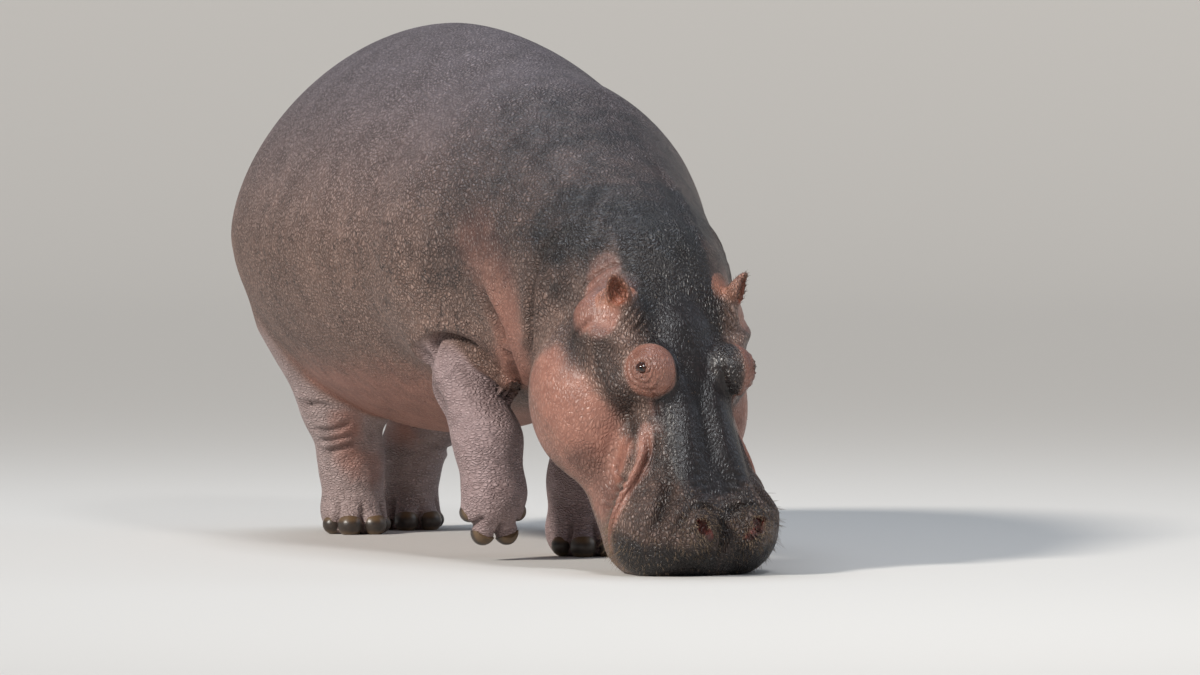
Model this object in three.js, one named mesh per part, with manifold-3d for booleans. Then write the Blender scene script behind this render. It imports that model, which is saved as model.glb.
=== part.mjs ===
// Hippopotamus, a still life-size model of an adult that walks with its muzzle on the ground.
// Millimetres, +Z up. The animal faces -Y, its left side is +X, and the floor is Z = 0.
//
// The body is one smooth field of named forms: a form is a function of a point that gives about
// the distance to a surface, negative inside. The field is meshed in the region of each body part,
// and flat cuts part one region from the next with a hair-thin gap.

import * as THREE from "three";
import { mergeVertices } from "three/addons/utils/BufferGeometryUtils.js";
import Module from "manifold-3d";

const wasm = await Module();
wasm.setup();

const V = (x, y, z) => new THREE.Vector3(x, y, z);
const GAP = 0.3; // between parts that meet
const OVERRUN = 1.6; // cells that a region's mesh runs past its cuts, before it is cut

// ---- Driving dimensions ----

const BACK_HEIGHT = 1497; // highest point of the arched back
const WIDEST_HEIGHT = 888; // where the flanks stand out farthest
const BELLY_HEIGHT = 316; // lowest point of the belly
const BODY_WIDTH = 1132;
const PEAK_AT = 200; // how far behind the origin the back is highest
const BARREL_BEHIND = 1040; // from that point to the end of the rump
const BARREL_AHEAD = 1380; // and to the front of the chest

const HEAD_PITCH = 68; // degrees that the face points below the horizon
const HEAD_YAW = 12; // degrees that the head turns to the animal's left
const HEAD_ORIGIN = V(45, -1590, 809); // on the forehead, between the ears
const EYE = { along: 281, aside: 163, above: 8, radius: 22 };
const ORBIT = { along: 281, aside: 128, above: -16 };
const EAR = { along: 82, aside: 176, above: -14 };
const NOSTRIL = { along: 730, aside: 88, above: 16 };
const MOUTH_CORNER = { along: 405, above: -110 };
const LIP_END = { along: 800, above: -262 }; // where the mouth's line meets the floor
const JAW_ANGLE = { along: 200, above: -430 }; // the rear lower corner of the jaw

// ---- Forms ----

const radians = THREE.MathUtils.degToRad;
const mix = (a, b, t) => a + (b - a) * t;
const clamp01 = (t) => Math.min(1, Math.max(0, t));

const ellipsoid = (centre, radii) => (p) => {
  const x = (p.x - centre[0]) / radii[0];
  const y = (p.y - centre[1]) / radii[1];
  const z = (p.z - centre[2]) / radii[2];
  const reach = Math.hypot(x, y, z);
  const slope = Math.hypot(x / radii[0], y / radii[1], z / radii[2]);
  return slope < 1e-9 ? -Math.min(...radii) : (reach * (reach - 1)) / slope;
};

// A tapered round bar from a to b.
const bar = (a, b, radiusA, radiusB) => {
  const start = V(...a);
  const along = V(...b).sub(start);
  const length2 = along.lengthSq();
  const q = V(0, 0, 0);
  return (p) => {
    q.copy(p).sub(start);
    const t = clamp01(q.dot(along) / length2);
    return q.addScaledVector(along, -t).length() - mix(radiusA, radiusB, t);
  };
};

// Bars along a chain of joints, each joint [x, y, z, radius].
const chain = (joints, soft) =>
  blend(
    soft,
    ...joints.slice(1).map((end, i) => {
      const start = joints[i];
      return bar(start.slice(0, 3), end.slice(0, 3), start[3], end[3]);
    }),
  );

const softMin = (a, b, soft) => {
  const h = Math.max(soft - Math.abs(a - b), 0) / soft;
  return Math.min(a, b) - (h * h * soft) / 4;
};

// Forms joined with a fillet of about the soft radius.
const blend = (soft, ...forms) => (p) => forms.reduce((d, f) => softMin(d, f(p), soft), Infinity);

// The same form on both sides of the middle plane.
const pair = (make) => {
  const right = make(-1);
  const left = make(1);
  return (p) => Math.min(right(p), left(p));
};

// A form made in a frame of its own, read in the body's frame.
const placed = (frame, form) => {
  const inverse = frame.clone().invert();
  const q = V(0, 0, 0);
  return (p) => form(q.copy(p).applyMatrix4(inverse));
};

// ---- Frames ----

// A frame whose -Y points ahead, turned to the left by yaw and down by pitch.
const frameAt = (origin, yaw, pitch) =>
  new THREE.Matrix4()
    .makeRotationFromEuler(new THREE.Euler(radians(pitch), 0, radians(yaw), "ZYX"))
    .setPosition(origin);

const headFrame = frameAt(HEAD_ORIGIN, HEAD_YAW, HEAD_PITCH);
// In the head's frame -Y runs down the face to the lips, +X is left and +Z is out of the forehead.
const at = (along, aside, above) => [aside, -along, above];

// ---- The trunk ----

const BACK_ROUNDNESS = 1.67; // 2 would be an ellipse; less is more like a tent
const FRONT_DROP = 80; // how far the front of the barrel sinks below the peak
const REAR_DROP = 10;
const REAR_BLUNTNESS = 2.4; // 2 would be an ellipse; more keeps the rump high near its end
const BELLY_ROUNDNESS = 1.72;

// A barrel along Y: rounder below its widest height than above it, and sinking towards both ends.
const barrelForm = (p) => {
  const behind = p.y > PEAK_AT;
  const t = (p.y - PEAK_AT) / (behind ? BARREL_BEHIND : BARREL_AHEAD);
  const z = p.z - WIDEST_HEIGHT + (behind ? REAR_DROP : FRONT_DROP) * t * t;
  const power = z > 0 ? BACK_ROUNDNESS : BELLY_ROUNDNESS;
  const height = z > 0 ? BACK_HEIGHT - WIDEST_HEIGHT : WIDEST_HEIGHT - BELLY_HEIGHT;
  const across = Math.abs((2 * p.x) / BODY_WIDTH) ** power;
  const section = (across + Math.abs(z / height) ** power) ** (1 / power);
  return (Math.hypot(section, behind ? t ** (REAR_BLUNTNESS / 2) : t) - 1) * height;
};

const trunkForm = blend(
  80,
  barrelForm,
  pair((side) => ellipsoid([side * 190, 700, 790], [185, 280, 370])), // haunch
  ellipsoid([235, -620, 770], [205, 260, 350]), // left shoulder
  ellipsoid([-245, -620, 830], [205, 260, 290]), // right shoulder, carried forward and up
);

const neckForm = blend(
  120,
  bar([0, -700, 850], [30, -1200, 715], 375, 295),
  bar([0, -720, 940], [45, -1400, 765], 345, 190),
);

// The fold of hide that hangs in an arch over the lifted foreleg.
const armFoldForm = chain(
  [
    [-352, -660, 570, 30],
    [-318, -760, 615, 36],
    [-252, -880, 560, 34],
    [-180, -960, 465, 20],
  ],
  20,
);

// ---- The head, in its own frame ----

const headForm = blend(
  60,
  ellipsoid(at(130, 0, -168), [178, 220, 163]), // skull
  bar(at(170, 0, -115), at(600, 0, -120), 118, 106), // bridge of the snout
  blend(
    50,
    ellipsoid(at(700, 0, -150), [195, 122, 132]), // muzzle
    pair((side) => ellipsoid(at(684, side * 132, -165), [98, 112, 138])), // lip pads
    pair((side) => bar(at(365, side * 76, -122), at(660, side * 126, -160), 74, 102)), // upper lip
    pair((side) => ellipsoid(at(NOSTRIL.along - 12, side * NOSTRIL.aside, NOSTRIL.above - 42), [52, 62, 52])),
  ),
  // the roots of the ears
  pair((side) => ellipsoid(at(EAR.along + 22, side * (EAR.aside - 30), EAR.above - 62), [60, 84, 70])),
  pair((side) => ellipsoid(at(ORBIT.along, side * ORBIT.aside, ORBIT.above), [58, 66, 56])), // orbits
  pair((side) => bar(at(EYE.along, side * 168, -98), at(95, side * 188, -124), 50, 68)), // cheekbone
  pair((side) => ellipsoid(at(260, side * 184, -300), [124, 208, 165])), // jowl
  pair((side) => bar(at(300, side * 84, -320), at(640, side * 88, -292), 130, 98)), // lower jaw
  ellipsoid(at(672, 0, -288), [150, 120, 95]), // chin
);

// ---- Ears, eyes and nostrils ----

// An ear's frame: +Z runs to its tip and -Y looks out of its opening.
const EAR_LEAN = 10; // degrees that the tip leans out
const EAR_PITCH = 24; // degrees that the tip leans towards the opening
const EAR_TURN = 38; // degrees that the opening turns out
const inHead = ({ along, aside = 0, above }, side = 1) =>
  V(...at(along, side * aside, above)).applyMatrix4(headFrame);
const SIDES = { left: 1, right: -1 };
const earFrame = (side) =>
  frameAt(inHead(EAR, side), HEAD_YAW + side * EAR_TURN, EAR_PITCH)
    .multiply(new THREE.Matrix4().makeRotationY(radians(side * EAR_LEAN)));

// ---- Legs ----

const FEET = {
  fore_left: { sole: V(106, -650, 0), yaw: 4, pitch: 0, size: 1.0, lifted: false },
  fore_right: { sole: V(-222, -815, 165), yaw: 4, pitch: 78, size: 0.93, lifted: true },
  hind_left: { sole: V(105, 960, 0), yaw: 2, pitch: 0, size: 0.98, lifted: false },
  hind_right: { sole: V(-122, 765, 0), yaw: -2, pitch: 0, size: 0.98, lifted: false },
};

// Each leg from its shoulder or hip down to its ankle.
const legForms = {
  fore_left: chain(
    [
      [225, -620, 700, 190],
      [180, -610, 470, 125],
      [125, -620, 210, 92],
      [108, -640, 90, 90],
    ],
    60,
  ),
  fore_right: chain(
    [
      [-262, -690, 700, 108],
      [-268, -755, 500, 90],
      [-237, -860, 330, 86],
      [-226, -872, 190, 82],
    ],
    50,
  ),
  hind_left: chain(
    [
      [215, 770, 640, 200],
      [150, 850, 400, 120],
      [108, 940, 210, 84],
      [105, 950, 90, 90],
    ],
    60,
  ),
  hind_right: chain(
    [
      [-215, 700, 640, 200],
      [-168, 715, 400, 120],
      [-128, 765, 210, 84],
      [-122, 760, 90, 90],
    ],
    60,
  ),
};

// Toes fan out from the middle of a foot: the two middle ones lead, the outer ones sit back.
const TOES = [
  { turn: -62, reach: 80, width: 28 },
  { turn: -20, reach: 104, width: 34 },
  { turn: 20, reach: 104, width: 34 },
  { turn: 62, reach: 80, width: 28 },
];
const TOE_HEIGHT = 30;

const toeTip = ({ turn, reach }) => [
  reach * Math.sin(radians(turn)),
  -reach * Math.cos(radians(turn)),
  TOE_HEIGHT,
];
const footForm = blend(
  22,
  ellipsoid([0, 12, 60], [88, 98, 84]),
  ...TOES.map((toe) => bar([0, 0, 60], toeTip(toe), 44, toe.width)),
);

const footFrame = ({ sole, yaw, pitch, size }) => frameAt(sole, yaw, pitch).scale(V(size, size, size));
const limb = (name) => blend(40, legForms[name], placed(footFrame(FEET[name]), footForm));

// A nail covers the lower front of a toe, a little fuller than the toe itself.
const NAIL_FULLNESS = 1.07;
const NAIL_HEIGHT = 42;
const nailForm = (toe) => ellipsoid(toeTip(toe), [0, 1, 2].map(() => toe.width * NAIL_FULLNESS));

const tailForm = chain(
  [
    [0, 1120, 1000, 70],
    [0, 1190, 890, 48],
    [0, 1200, 760, 30],
    [0, 1195, 640, 22],
  ],
  20,
);

// ---- The whole body ----

const torso = blend(150, trunkForm, neckForm);
const body = blend(60, torso, placed(headFrame, headForm), tailForm);

// Each leg joins the body by itself, so that neighbouring legs never flow into each other.
const LEG_FILLET = { fore_left: 70, fore_right: 24, hind_left: 70, hind_right: 70 };
const legged = Object.fromEntries(
  Object.keys(FEET).map((name) => [name, blend(LEG_FILLET[name], body, limb(name))]),
);
const bodyAndLegs = (p) => Math.min(...Object.values(legged).map((form) => form(p)));
const flesh = blend(24, bodyAndLegs, armFoldForm);

// ---- Meshing ----

// The corners of a cell, its twelve edges as [corner, axis], and its six faces as loops of corners.
const CORNERS = [0, 1, 2, 3, 4, 5, 6, 7].map((c) => [c & 1, (c >> 1) & 1, c >> 2]);
const EDGES = [0, 1, 2].flatMap((axis) => CORNERS.flatMap((_, c) => ((c >> axis) & 1 ? [] : [[c, axis]])));
const edgeBetween = (a, b) =>
  EDGES.findIndex(([c, axis]) => c === Math.min(a, b) && c + (1 << axis) === Math.max(a, b));
const FACES = [
  [0, 1, 3, 2],
  [4, 5, 7, 6],
  [0, 1, 5, 4],
  [2, 3, 7, 6],
  [0, 2, 6, 4],
  [1, 3, 7, 5],
];

// The crossed edges of a cell, in groups that belong to one sheet of the surface. On a face with
// four crossings the two inside corners are kept apart, so that the net never folds onto itself.
function sheetsOf(inside) {
  const group = EDGES.map((_, e) => e);
  const unite = (a, b) => {
    const [from, to] = [group[b], group[a]];
    group.forEach((g, e) => { if (g === from) group[e] = to; });
  };
  for (const face of FACES) {
    const sides = face.map((c, n) => [c, face[(n + 1) % 4]]);
    const crossed = sides.filter(([c, d]) => inside[c] !== inside[d]);
    if (crossed.length === 2) unite(...crossed.map(([c, d]) => edgeBetween(c, d)));
    if (crossed.length === 4)
      face.forEach((c, n) => {
        if (inside[c]) unite(edgeBetween(c, face[(n + 1) % 4]), edgeBetween(c, face[(n + 3) % 4]));
      });
  }
  return group;
}
// The sheets of a cell for every choice of which of its eight corners lie inside.
const SHEETS = Array.from({ length: 256 }, (_, signs) =>
  sheetsOf(CORNERS.map((_, c) => Boolean((signs >> c) & 1))),
);

// A net over the surface of a form: one point for each sheet in each cell that the surface
// crosses, and one quad around each grid edge that it crosses.
function netOf(form, low, high, cell) {
  const [nx, ny, nz] = ["x", "y", "z"].map((k) => Math.ceil((high[k] - low[k]) / cell[k]) + 1);
  const index = (i, j, k) => (k * ny + j) * nx + i;
  const values = new Float64Array(nx * ny * nz);
  const p = V(0, 0, 0);
  for (let k = 0; k < nz; k++)
    for (let j = 0; j < ny; j++)
      for (let i = 0; i < nx; i++) {
        const rim = !i || !j || !k || i === nx - 1 || j === ny - 1 || k === nz - 1;
        const here = form(p.set(i, j, k).multiply(cell).add(low));
        values[index(i, j, k)] = rim ? Math.max(here, cell.x / 2) : here;
      }

  const pointOf = new Int32Array(nx * ny * nz * EDGES.length);
  const points = [];
  for (let k = 0; k < nz - 1; k++)
    for (let j = 0; j < ny - 1; j++)
      for (let i = 0; i < nx - 1; i++) {
        const v = CORNERS.map(([a, b, c]) => values[index(i + a, j + b, k + c)]);
        const signs = v.reduce((bits, value, c) => bits | (Number(value < 0) << c), 0);
        if (signs === 0 || signs === 255) continue;
        const sheets = new Map();
        EDGES.forEach(([c, axis], e) => {
          const d = c + (1 << axis);
          if (v[c] < 0 === v[d] < 0) return;
          const crossing = V(...CORNERS[c]);
          crossing.setComponent(axis, v[c] / (v[c] - v[d]));
          const sheet = SHEETS[signs][e];
          if (!sheets.has(sheet)) sheets.set(sheet, { crossings: [], id: points.push(null) - 1 });
          sheets.get(sheet).crossings.push(crossing);
          pointOf[index(i, j, k) * EDGES.length + e] = sheets.get(sheet).id;
        });
        for (const { crossings, id } of sheets.values())
          points[id] = crossings
            .reduce((sum, c) => sum.add(c), V(0, 0, 0))
            .divideScalar(crossings.length)
            .add(V(i, j, k))
            .multiply(cell)
            .add(low);
      }

  const faces = [];
  const around = [[1, 1], [0, 1], [0, 0], [1, 0]];
  for (let k = 0; k < nz - 1; k++)
    for (let j = 0; j < ny - 1; j++)
      for (let i = 0; i < nx - 1; i++)
        for (let axis = 0; axis < 3; axis++) {
          const here = [i, j, k];
          const next = here.map((n, m) => n + Number(m === axis));
          const inside = values[index(...here)] < 0;
          if (inside === values[index(...next)] < 0) continue;
          const [second, third] = [(axis + 1) % 3, (axis + 2) % 3];
          const ring = around.map(([a, b]) => {
            const cellAt = here.map((n, m) => n - (m === second ? a : 0) - (m === third ? b : 0));
            const corner = (a << second) | (b << third);
            const edge = EDGES.findIndex(([c, d]) => c === corner && d === axis);
            return pointOf[index(...cellAt) * EDGES.length + edge];
          });
          const [a, b, c, d] = inside ? ring : ring.reverse();
          const short = points[a].distanceTo(points[c]) < points[b].distanceTo(points[d]);
          faces.push(...(short ? [a, b, c, a, c, d] : [a, b, d, b, c, d]));
        }
  return { points, faces };
}

const STEP = 2; // mm, for the slope of a form

// Moves a point along the form's slope onto its surface.
function settle(point, form) {
  const slope = V(0, 0, 0);
  const q = V(0, 0, 0);
  for (let turn = 0; turn < 2; turn++) {
    const here = form(point);
    slope.set(
      form(q.copy(point).setX(point.x + STEP)) - here,
      form(q.copy(point).setY(point.y + STEP)) - here,
      form(q.copy(point).setZ(point.z + STEP)) - here,
    ).divideScalar(STEP);
    const steepness = slope.lengthSq();
    if (steepness > 0.05) point.addScaledVector(slope, -here / steepness);
  }
}

// A plane keeps what its normal points to, and a region is what all its planes keep.
const plane = (point, normal) => ({ point, normal: normal.clone().normalize() });
const flipped = ({ point, normal }) => plane(point, normal.clone().negate());
const distanceTo = (region, p) =>
  region.reduce((d, { point, normal }) => Math.max(d, normal.dot(point) - normal.dot(p)), -Infinity);

// An upright region around x and y, from one height to another, with a top that may slope.
const column = ([x0, x1], [y0, y1], floor, top) => [
  plane(V(x0, 0, 0), V(1, 0, 0)),
  plane(V(x1, 0, 0), V(-1, 0, 0)),
  plane(V(0, y0, 0), V(0, 1, 0)),
  plane(V(0, y1, 0), V(0, -1, 0)),
  plane(V(0, 0, floor), V(0, 0, 1)),
  top,
];

function solidFrom(points, faces) {
  const vertProperties = new Float32Array(points.flatMap((p) => [p.x, p.y, p.z]));
  return new wasm.Manifold(new wasm.Mesh({ numProp: 3, vertProperties, triVerts: new Uint32Array(faces) }));
}

function solidOfGeometry(geometry) {
  const bare = geometry.clone();
  bare.deleteAttribute("normal");
  bare.deleteAttribute("uv");
  const merged = mergeVertices(bare, 1e-3);
  const triVerts = new Uint32Array(merged.index.array);
  const vertProperties = merged.attributes.position.array;
  return new wasm.Manifold(new wasm.Mesh({ numProp: 3, vertProperties, triVerts }));
}

function geometryOf(solid) {
  const mesh = solid.getMesh();
  return new THREE.BufferGeometry()
    .setAttribute("position", new THREE.BufferAttribute(new Float32Array(mesh.vertProperties), 3))
    .setIndex(new THREE.BufferAttribute(new Uint32Array(mesh.triVerts), 1));
}

const EVERYTHING = new THREE.BoxGeometry(9000, 9000, 9000);
const regionSolid = (region, grow) =>
  region.reduce(
    (solid, { point, normal: n }) => solid.trimByPlane([n.x, n.y, n.z], n.dot(point) - grow),
    solidOfGeometry(EVERYTHING),
  );
const largest = (solid) => solid.decompose().sort((a, b) => b.volume() - a.volume())[0];

// The part of a form in one region and out of others, meshed inside a box.
function solidOf(form, { low, high, cell, within = [], without = [] }) {
  const run = Math.max(cell.x, cell.y, cell.z) * OVERRUN;
  const outside = (p) => Math.max(distanceTo(within, p), ...without.map((region) => -distanceTo(region, p)));
  const past = (p) => outside(p) - run;
  const { points, faces } = netOf((p) => Math.max(form(p), past(p)), low, high, cell);
  points.filter((p) => past(p) < -0.4 * run).forEach((p) => settle(p, form));
  let solid = solidFrom(points, faces).intersect(regionSolid(within, -GAP / 2));
  for (const region of without) solid = solid.subtract(regionSolid(region, GAP / 2));
  return largest(solid);
}

// ---- Where one part ends and the next begins ----

const floorPlane = plane(V(0, 0, -GAP / 2), V(0, 0, 1));
const neckPlane = plane(V(0, -930, 800), V(0, -1, -0.12));
const headPlane = plane(V(-40, -1330, 700), V(0.09, -0.72, -0.62));
const tailPlane = plane(V(0, 1165, 930), V(0, 1, 0));
const LEG_REGIONS = {
  fore_left: column([0, 360], [-850, -400], -400, plane(V(150, -620, 360), V(0.3, -0.1, -1))),
  fore_right: column([-410, -110], [-1120, -620], -400, plane(V(-270, -760, 480), V(-0.2, 0.1, -1))),
  hind_left: column([0, 360], [700, 1160], -400, plane(V(140, 870, 370), V(0.3, 0.2, -1))),
  hind_right: column([-380, 0], [500, 960], -400, plane(V(-160, 720, 370), V(-0.3, 0.2, -1))),
};
const jawRegion = [
  [MOUTH_CORNER, LIP_END],
  [JAW_ANGLE, MOUTH_CORNER],
].map(([from, to]) => {
  const across = V(1, 0, 0).transformDirection(headFrame);
  return plane(inHead(from), across.cross(inHead(to).sub(inHead(from))));
});

// The same region in another frame.
const moved = (frame, region) =>
  region.map(({ point, normal }) =>
    plane(point.clone().applyMatrix4(frame), normal.clone().transformDirection(frame)),
  );

// In the foot's frame: a standing foot is cut level above it, a hanging one is cut behind it.
const ANKLE = plane(V(0, 0, 120), V(0, 0, -1));
const WRIST = plane(V(0, 44, 0), V(0, -1, 0));
const footRegion = (foot) => moved(footFrame(foot), [foot.lifted ? WRIST : ANKLE]);
const nailRegion = (foot, toe) => {
  const out = V(Math.sin(radians(toe.turn)), -Math.cos(radians(toe.turn)), 0);
  const beside = V(-out.y, out.x, 0);
  const tip = V(...toeTip(toe));
  return moved(footFrame(foot), [
    plane(tip.clone().addScaledVector(out, toe.width * 0.42), out.clone().setZ(-0.25)),
    plane(tip.clone().addScaledVector(beside, toe.width * 1.2), beside.clone().negate()),
    plane(tip.clone().addScaledVector(beside, -toe.width * 1.2), beside),
    plane(tip.clone().setZ(NAIL_HEIGHT), V(0, 0, -1)),
    plane(tip.clone().setZ(-60), V(0, 0, 1)),
    plane(tip.clone().addScaledVector(out, 80), out.clone().negate()),
  ]);
};

// ---- Colours ----

const finish = (color, roughness) => new THREE.MeshStandardMaterial({ color, roughness, metalness: 0 });
const materials = {
  hide: finish(0x6f6262, 0.62),
  face: finish(0x4a4347, 0.45),
  nail: finish(0x5c5248, 0.4),
  eye: finish(0x1d1310, 0.08),
};

const hippopotamus = new THREE.Group();
function add(name, solid, material) {
  const mesh = new THREE.Mesh(geometryOf(solid), material);
  mesh.name = name;
  hippopotamus.add(mesh);
}
const cube = (size) => V(size, size, size);

add("trunk", solidOf(flesh, {
  low: V(-760, -1220, -60),
  high: V(760, 1360, 1640),
  cell: V(110, 172, 110),
  within: [flipped(neckPlane), flipped(tailPlane)],
  without: Object.values(LEG_REGIONS),
}), materials.hide);

add("neck", solidOf(flesh, {
  low: V(-620, -1720, 100),
  high: V(620, -700, 1500),
  cell: V(80, 96, 80),
  within: [neckPlane, flipped(headPlane)],
  without: Object.values(LEG_REGIONS),
}), materials.hide);

const headBox = { low: V(-420, -2080, -90), high: V(480, -1000, 1000), cell: cube(48) };
const eyeball = (side) =>
  new THREE.SphereGeometry(EYE.radius, 12, 7).applyMatrix4(headFrame.clone().setPosition(inHead(EYE, side)));
const grown = (geometry, centre, by) =>
  geometry
    .clone()
    .translate(-centre.x, -centre.y, -centre.z)
    .scale(by, by, by)
    .translate(centre.x, centre.y, centre.z);
const nostrilGeometry = (side) =>
  new THREE.SphereGeometry(1, 10, 7)
    .scale(15, 24, 40)
    .rotateZ(radians(side * 24))
    .applyMatrix4(headFrame.clone().setPosition(inHead(NOSTRIL, side)));

let head = solidOf(body, { ...headBox, within: [headPlane, floorPlane], without: [jawRegion] });
for (const side of Object.values(SIDES)) {
  const socket = grown(eyeball(side), inHead(EYE, side), 1 + GAP / EYE.radius);
  head = head.subtract(solidOfGeometry(socket)).subtract(solidOfGeometry(nostrilGeometry(side)));
}
add("head", head, materials.face);
const jaw = solidOf(body, { ...headBox, within: [headPlane, floorPlane, ...jawRegion] });
add("lower_jaw", jaw, materials.face);

// An ear is a pointed shell on a stalk, hollowed from the front.
const POINTED_FROM = 20; // how far up the ear it starts to narrow
const POINTEDNESS = 0.006; // share of its width that it loses in each further millimetre
const pointed = (geometry) => {
  const position = geometry.attributes.position;
  for (let n = 0; n < position.count; n++) {
    const rise = Math.max(0, position.getZ(n) - POINTED_FROM);
    const narrower = Math.exp(-rise * POINTEDNESS);
    position.setXY(n, position.getX(n) * narrower, position.getY(n) * narrower);
  }
  return geometry;
};
const upright = (geometry) => geometry.rotateX(Math.PI / 2);
const earShell = pointed(
  upright(new THREE.SphereGeometry(1, 12, 7)).scale(36, 27, 52).translate(0, 0, 30),
);
const earHollow = pointed(
  upright(new THREE.SphereGeometry(1, 10, 6)).scale(27, 28, 38).translate(0, -20, 38),
);
const earStalk = upright(new THREE.CylinderGeometry(24, 36, 74, 10)).translate(0, 5, -30);

for (const [name, side] of Object.entries(SIDES)) {
  const frame = earFrame(side);
  const inPlace = (form) => solidOfGeometry(form.clone().applyMatrix4(frame));
  const [shell, hollow, stalk] = [earShell, earHollow, earStalk].map(inPlace);
  const outward = V(0, 0, 1).transformDirection(frame).multiplyScalar(GAP);
  const ear = largest(shell.add(stalk).subtract(hollow).subtract(head));
  add(`ear_${name}`, ear.translate([outward.x, outward.y, outward.z]), materials.face);
  add(`eye_${name}`, solidOfGeometry(eyeball(side)), materials.eye);
}

for (const [name, foot] of Object.entries(FEET)) {
  const { x, y } = foot.sole;
  const ankle = footRegion(foot);
  const legBox = { low: V(x - 300, y - 300, -70), high: V(x + 300, y + 300, 760) };
  const leg = [...LEG_REGIONS[name], floorPlane];
  add(`${name}_leg`, solidOf(legged[name], {
    ...legBox,
    cell: V(50, 50, 70),
    within: [...leg, ...ankle.map(flipped)],
  }), materials.hide);
  add(`${name}_foot`, solidOf(legged[name], {
    ...legBox,
    cell: cube(40),
    within: [...leg, ...ankle],
    without: TOES.map((toe) => nailRegion(foot, toe)),
  }), materials.hide);
  TOES.forEach((toe, n) => {
    const tip = V(...toeTip(toe)).applyMatrix4(footFrame(foot));
    add(`${name}_nail_${n + 1}`, solidOf(placed(footFrame(foot), nailForm(toe)), {
      low: tip.clone().subScalar(60),
      high: tip.clone().addScalar(60),
      cell: cube(24),
      within: [...nailRegion(foot, toe), floorPlane],
    }), materials.nail);
  });
}

add("tail", solidOf(tailForm, {
  low: V(-120, 1050, 560),
  high: V(120, 1320, 1120),
  cell: cube(32),
  within: [tailPlane],
}), materials.hide);

// The origin lies on the floor under the middle of the box around the animal.
const middle = new THREE.Box3().setFromObject(hippopotamus).getCenter(V(0, 0, 0));
hippopotamus.children.forEach((mesh) => mesh.geometry.translate(-middle.x, -middle.y, 0));

export default hippopotamus;
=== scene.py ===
"""A hippopotamus that walks with its muzzle on the ground: the skin, eyes, nails and bristles
over the solid model, with the studio around it. Metres, +Z up, and the animal faces -Y."""

import math

import bpy
import numpy as np
from mathutils import Matrix, Vector


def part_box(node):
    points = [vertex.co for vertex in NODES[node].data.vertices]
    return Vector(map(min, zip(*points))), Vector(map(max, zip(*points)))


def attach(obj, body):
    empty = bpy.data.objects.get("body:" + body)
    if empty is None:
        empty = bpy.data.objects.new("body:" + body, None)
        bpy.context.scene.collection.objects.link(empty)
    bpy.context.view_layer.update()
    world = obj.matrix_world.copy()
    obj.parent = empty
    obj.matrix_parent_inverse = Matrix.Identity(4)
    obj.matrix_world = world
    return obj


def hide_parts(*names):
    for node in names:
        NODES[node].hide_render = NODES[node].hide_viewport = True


bl_info = {
    "name": "Hippopotamus",
    "version": (1, 0, 0),
    "blender": (4, 5, 0),
    "location": "3D View > Sidebar > Hippopotamus",
    "description": "Dresses the solid model of a hippopotamus in skin, eyes, nails and bristles",
    "category": "Object",
}

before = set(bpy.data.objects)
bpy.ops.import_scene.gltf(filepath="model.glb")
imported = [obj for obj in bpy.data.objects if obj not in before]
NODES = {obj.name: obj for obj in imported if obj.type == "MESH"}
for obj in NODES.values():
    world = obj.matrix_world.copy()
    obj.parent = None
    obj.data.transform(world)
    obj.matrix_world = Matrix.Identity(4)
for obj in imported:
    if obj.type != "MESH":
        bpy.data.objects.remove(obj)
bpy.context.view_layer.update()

LIMBS = ("fore_left", "fore_right", "hind_left", "hind_right")
FLESH_NODES = (
    ["trunk", "neck", "head", "lower_jaw", "ear_left", "ear_right", "tail"]
    + [f"{limb}_leg" for limb in LIMBS]
    + [f"{limb}_foot" for limb in LIMBS]
)

# ---- Frames. The body's own forms are in millimetres, as the solid model's are. ----

MM = 0.001
HEAD_PITCH, HEAD_YAW = 68.0, 12.0
HEAD_ORIGIN = np.array([45.0, -1590.0, 809.0])
EYE = (281.0, 163.0, 8.0)
EYE_RADIUS = 22.0


def turned(yaw, pitch):
    """Columns are a frame's axes, its -Y ahead, turned left by yaw and down by pitch."""
    turn = Matrix.Rotation(math.radians(yaw), 3, "Z") @ Matrix.Rotation(math.radians(pitch), 3, "X")
    return np.array(turn)


HEAD_TURN = turned(HEAD_YAW, HEAD_PITCH)


def head_point(along, aside, above):
    """A place on the head, in the body's millimetres: along the face, to the left, and out of it."""
    return HEAD_TURN @ np.array([aside, -along, above]) + HEAD_ORIGIN


def on_head(points, side=1):
    """Places given on the head's left, as the body's own: side 1 is the left and -1 the right."""
    return [head_point(along, side * aside, above) for along, aside, above in points]


def in_head(p):
    return (p - HEAD_ORIGIN) @ HEAD_TURN


# The solid model's origin was moved under the middle of its box: this is the way back.
eye_low, eye_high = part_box("eye_left")
ORIGIN_SHIFT = np.array((eye_low + eye_high) / 2) / MM - head_point(*EYE)

# ---- Forms: each gives about the distance to a surface, negative inside ----


def length(v):
    return np.sqrt((v * v).sum(1))


def ellipsoid(p, centre, radii):
    """About the distance to an ellipsoid that stands square in the points' frame."""
    q = (p - centre) / radii
    reach = length(q)
    slope = length(q / radii)
    return reach * (reach - 1) / np.maximum(slope, 1e-9)


def bar(p, a, b, radius_a, radius_b):
    """The distance to a round bar from a to b that tapers from one radius to the other."""
    start, along = np.asarray(a, float), np.subtract(b, a).astype(float)
    t = np.clip((p - start) @ along / (along @ along), 0, 1)
    return length(p - start - t[:, None] * along) - (radius_a + (radius_b - radius_a) * t)


def soft_min(a, b, soft):
    """Joins two forms, with a soft throat where they meet."""
    h = np.maximum(soft - np.abs(a - b), 0) / soft
    return np.minimum(a, b) - h * h * soft / 4


def soft_max(a, b, soft):
    """Keeps what two forms share, with a soft edge where they meet."""
    return -soft_min(-a, -b, soft)


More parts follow.
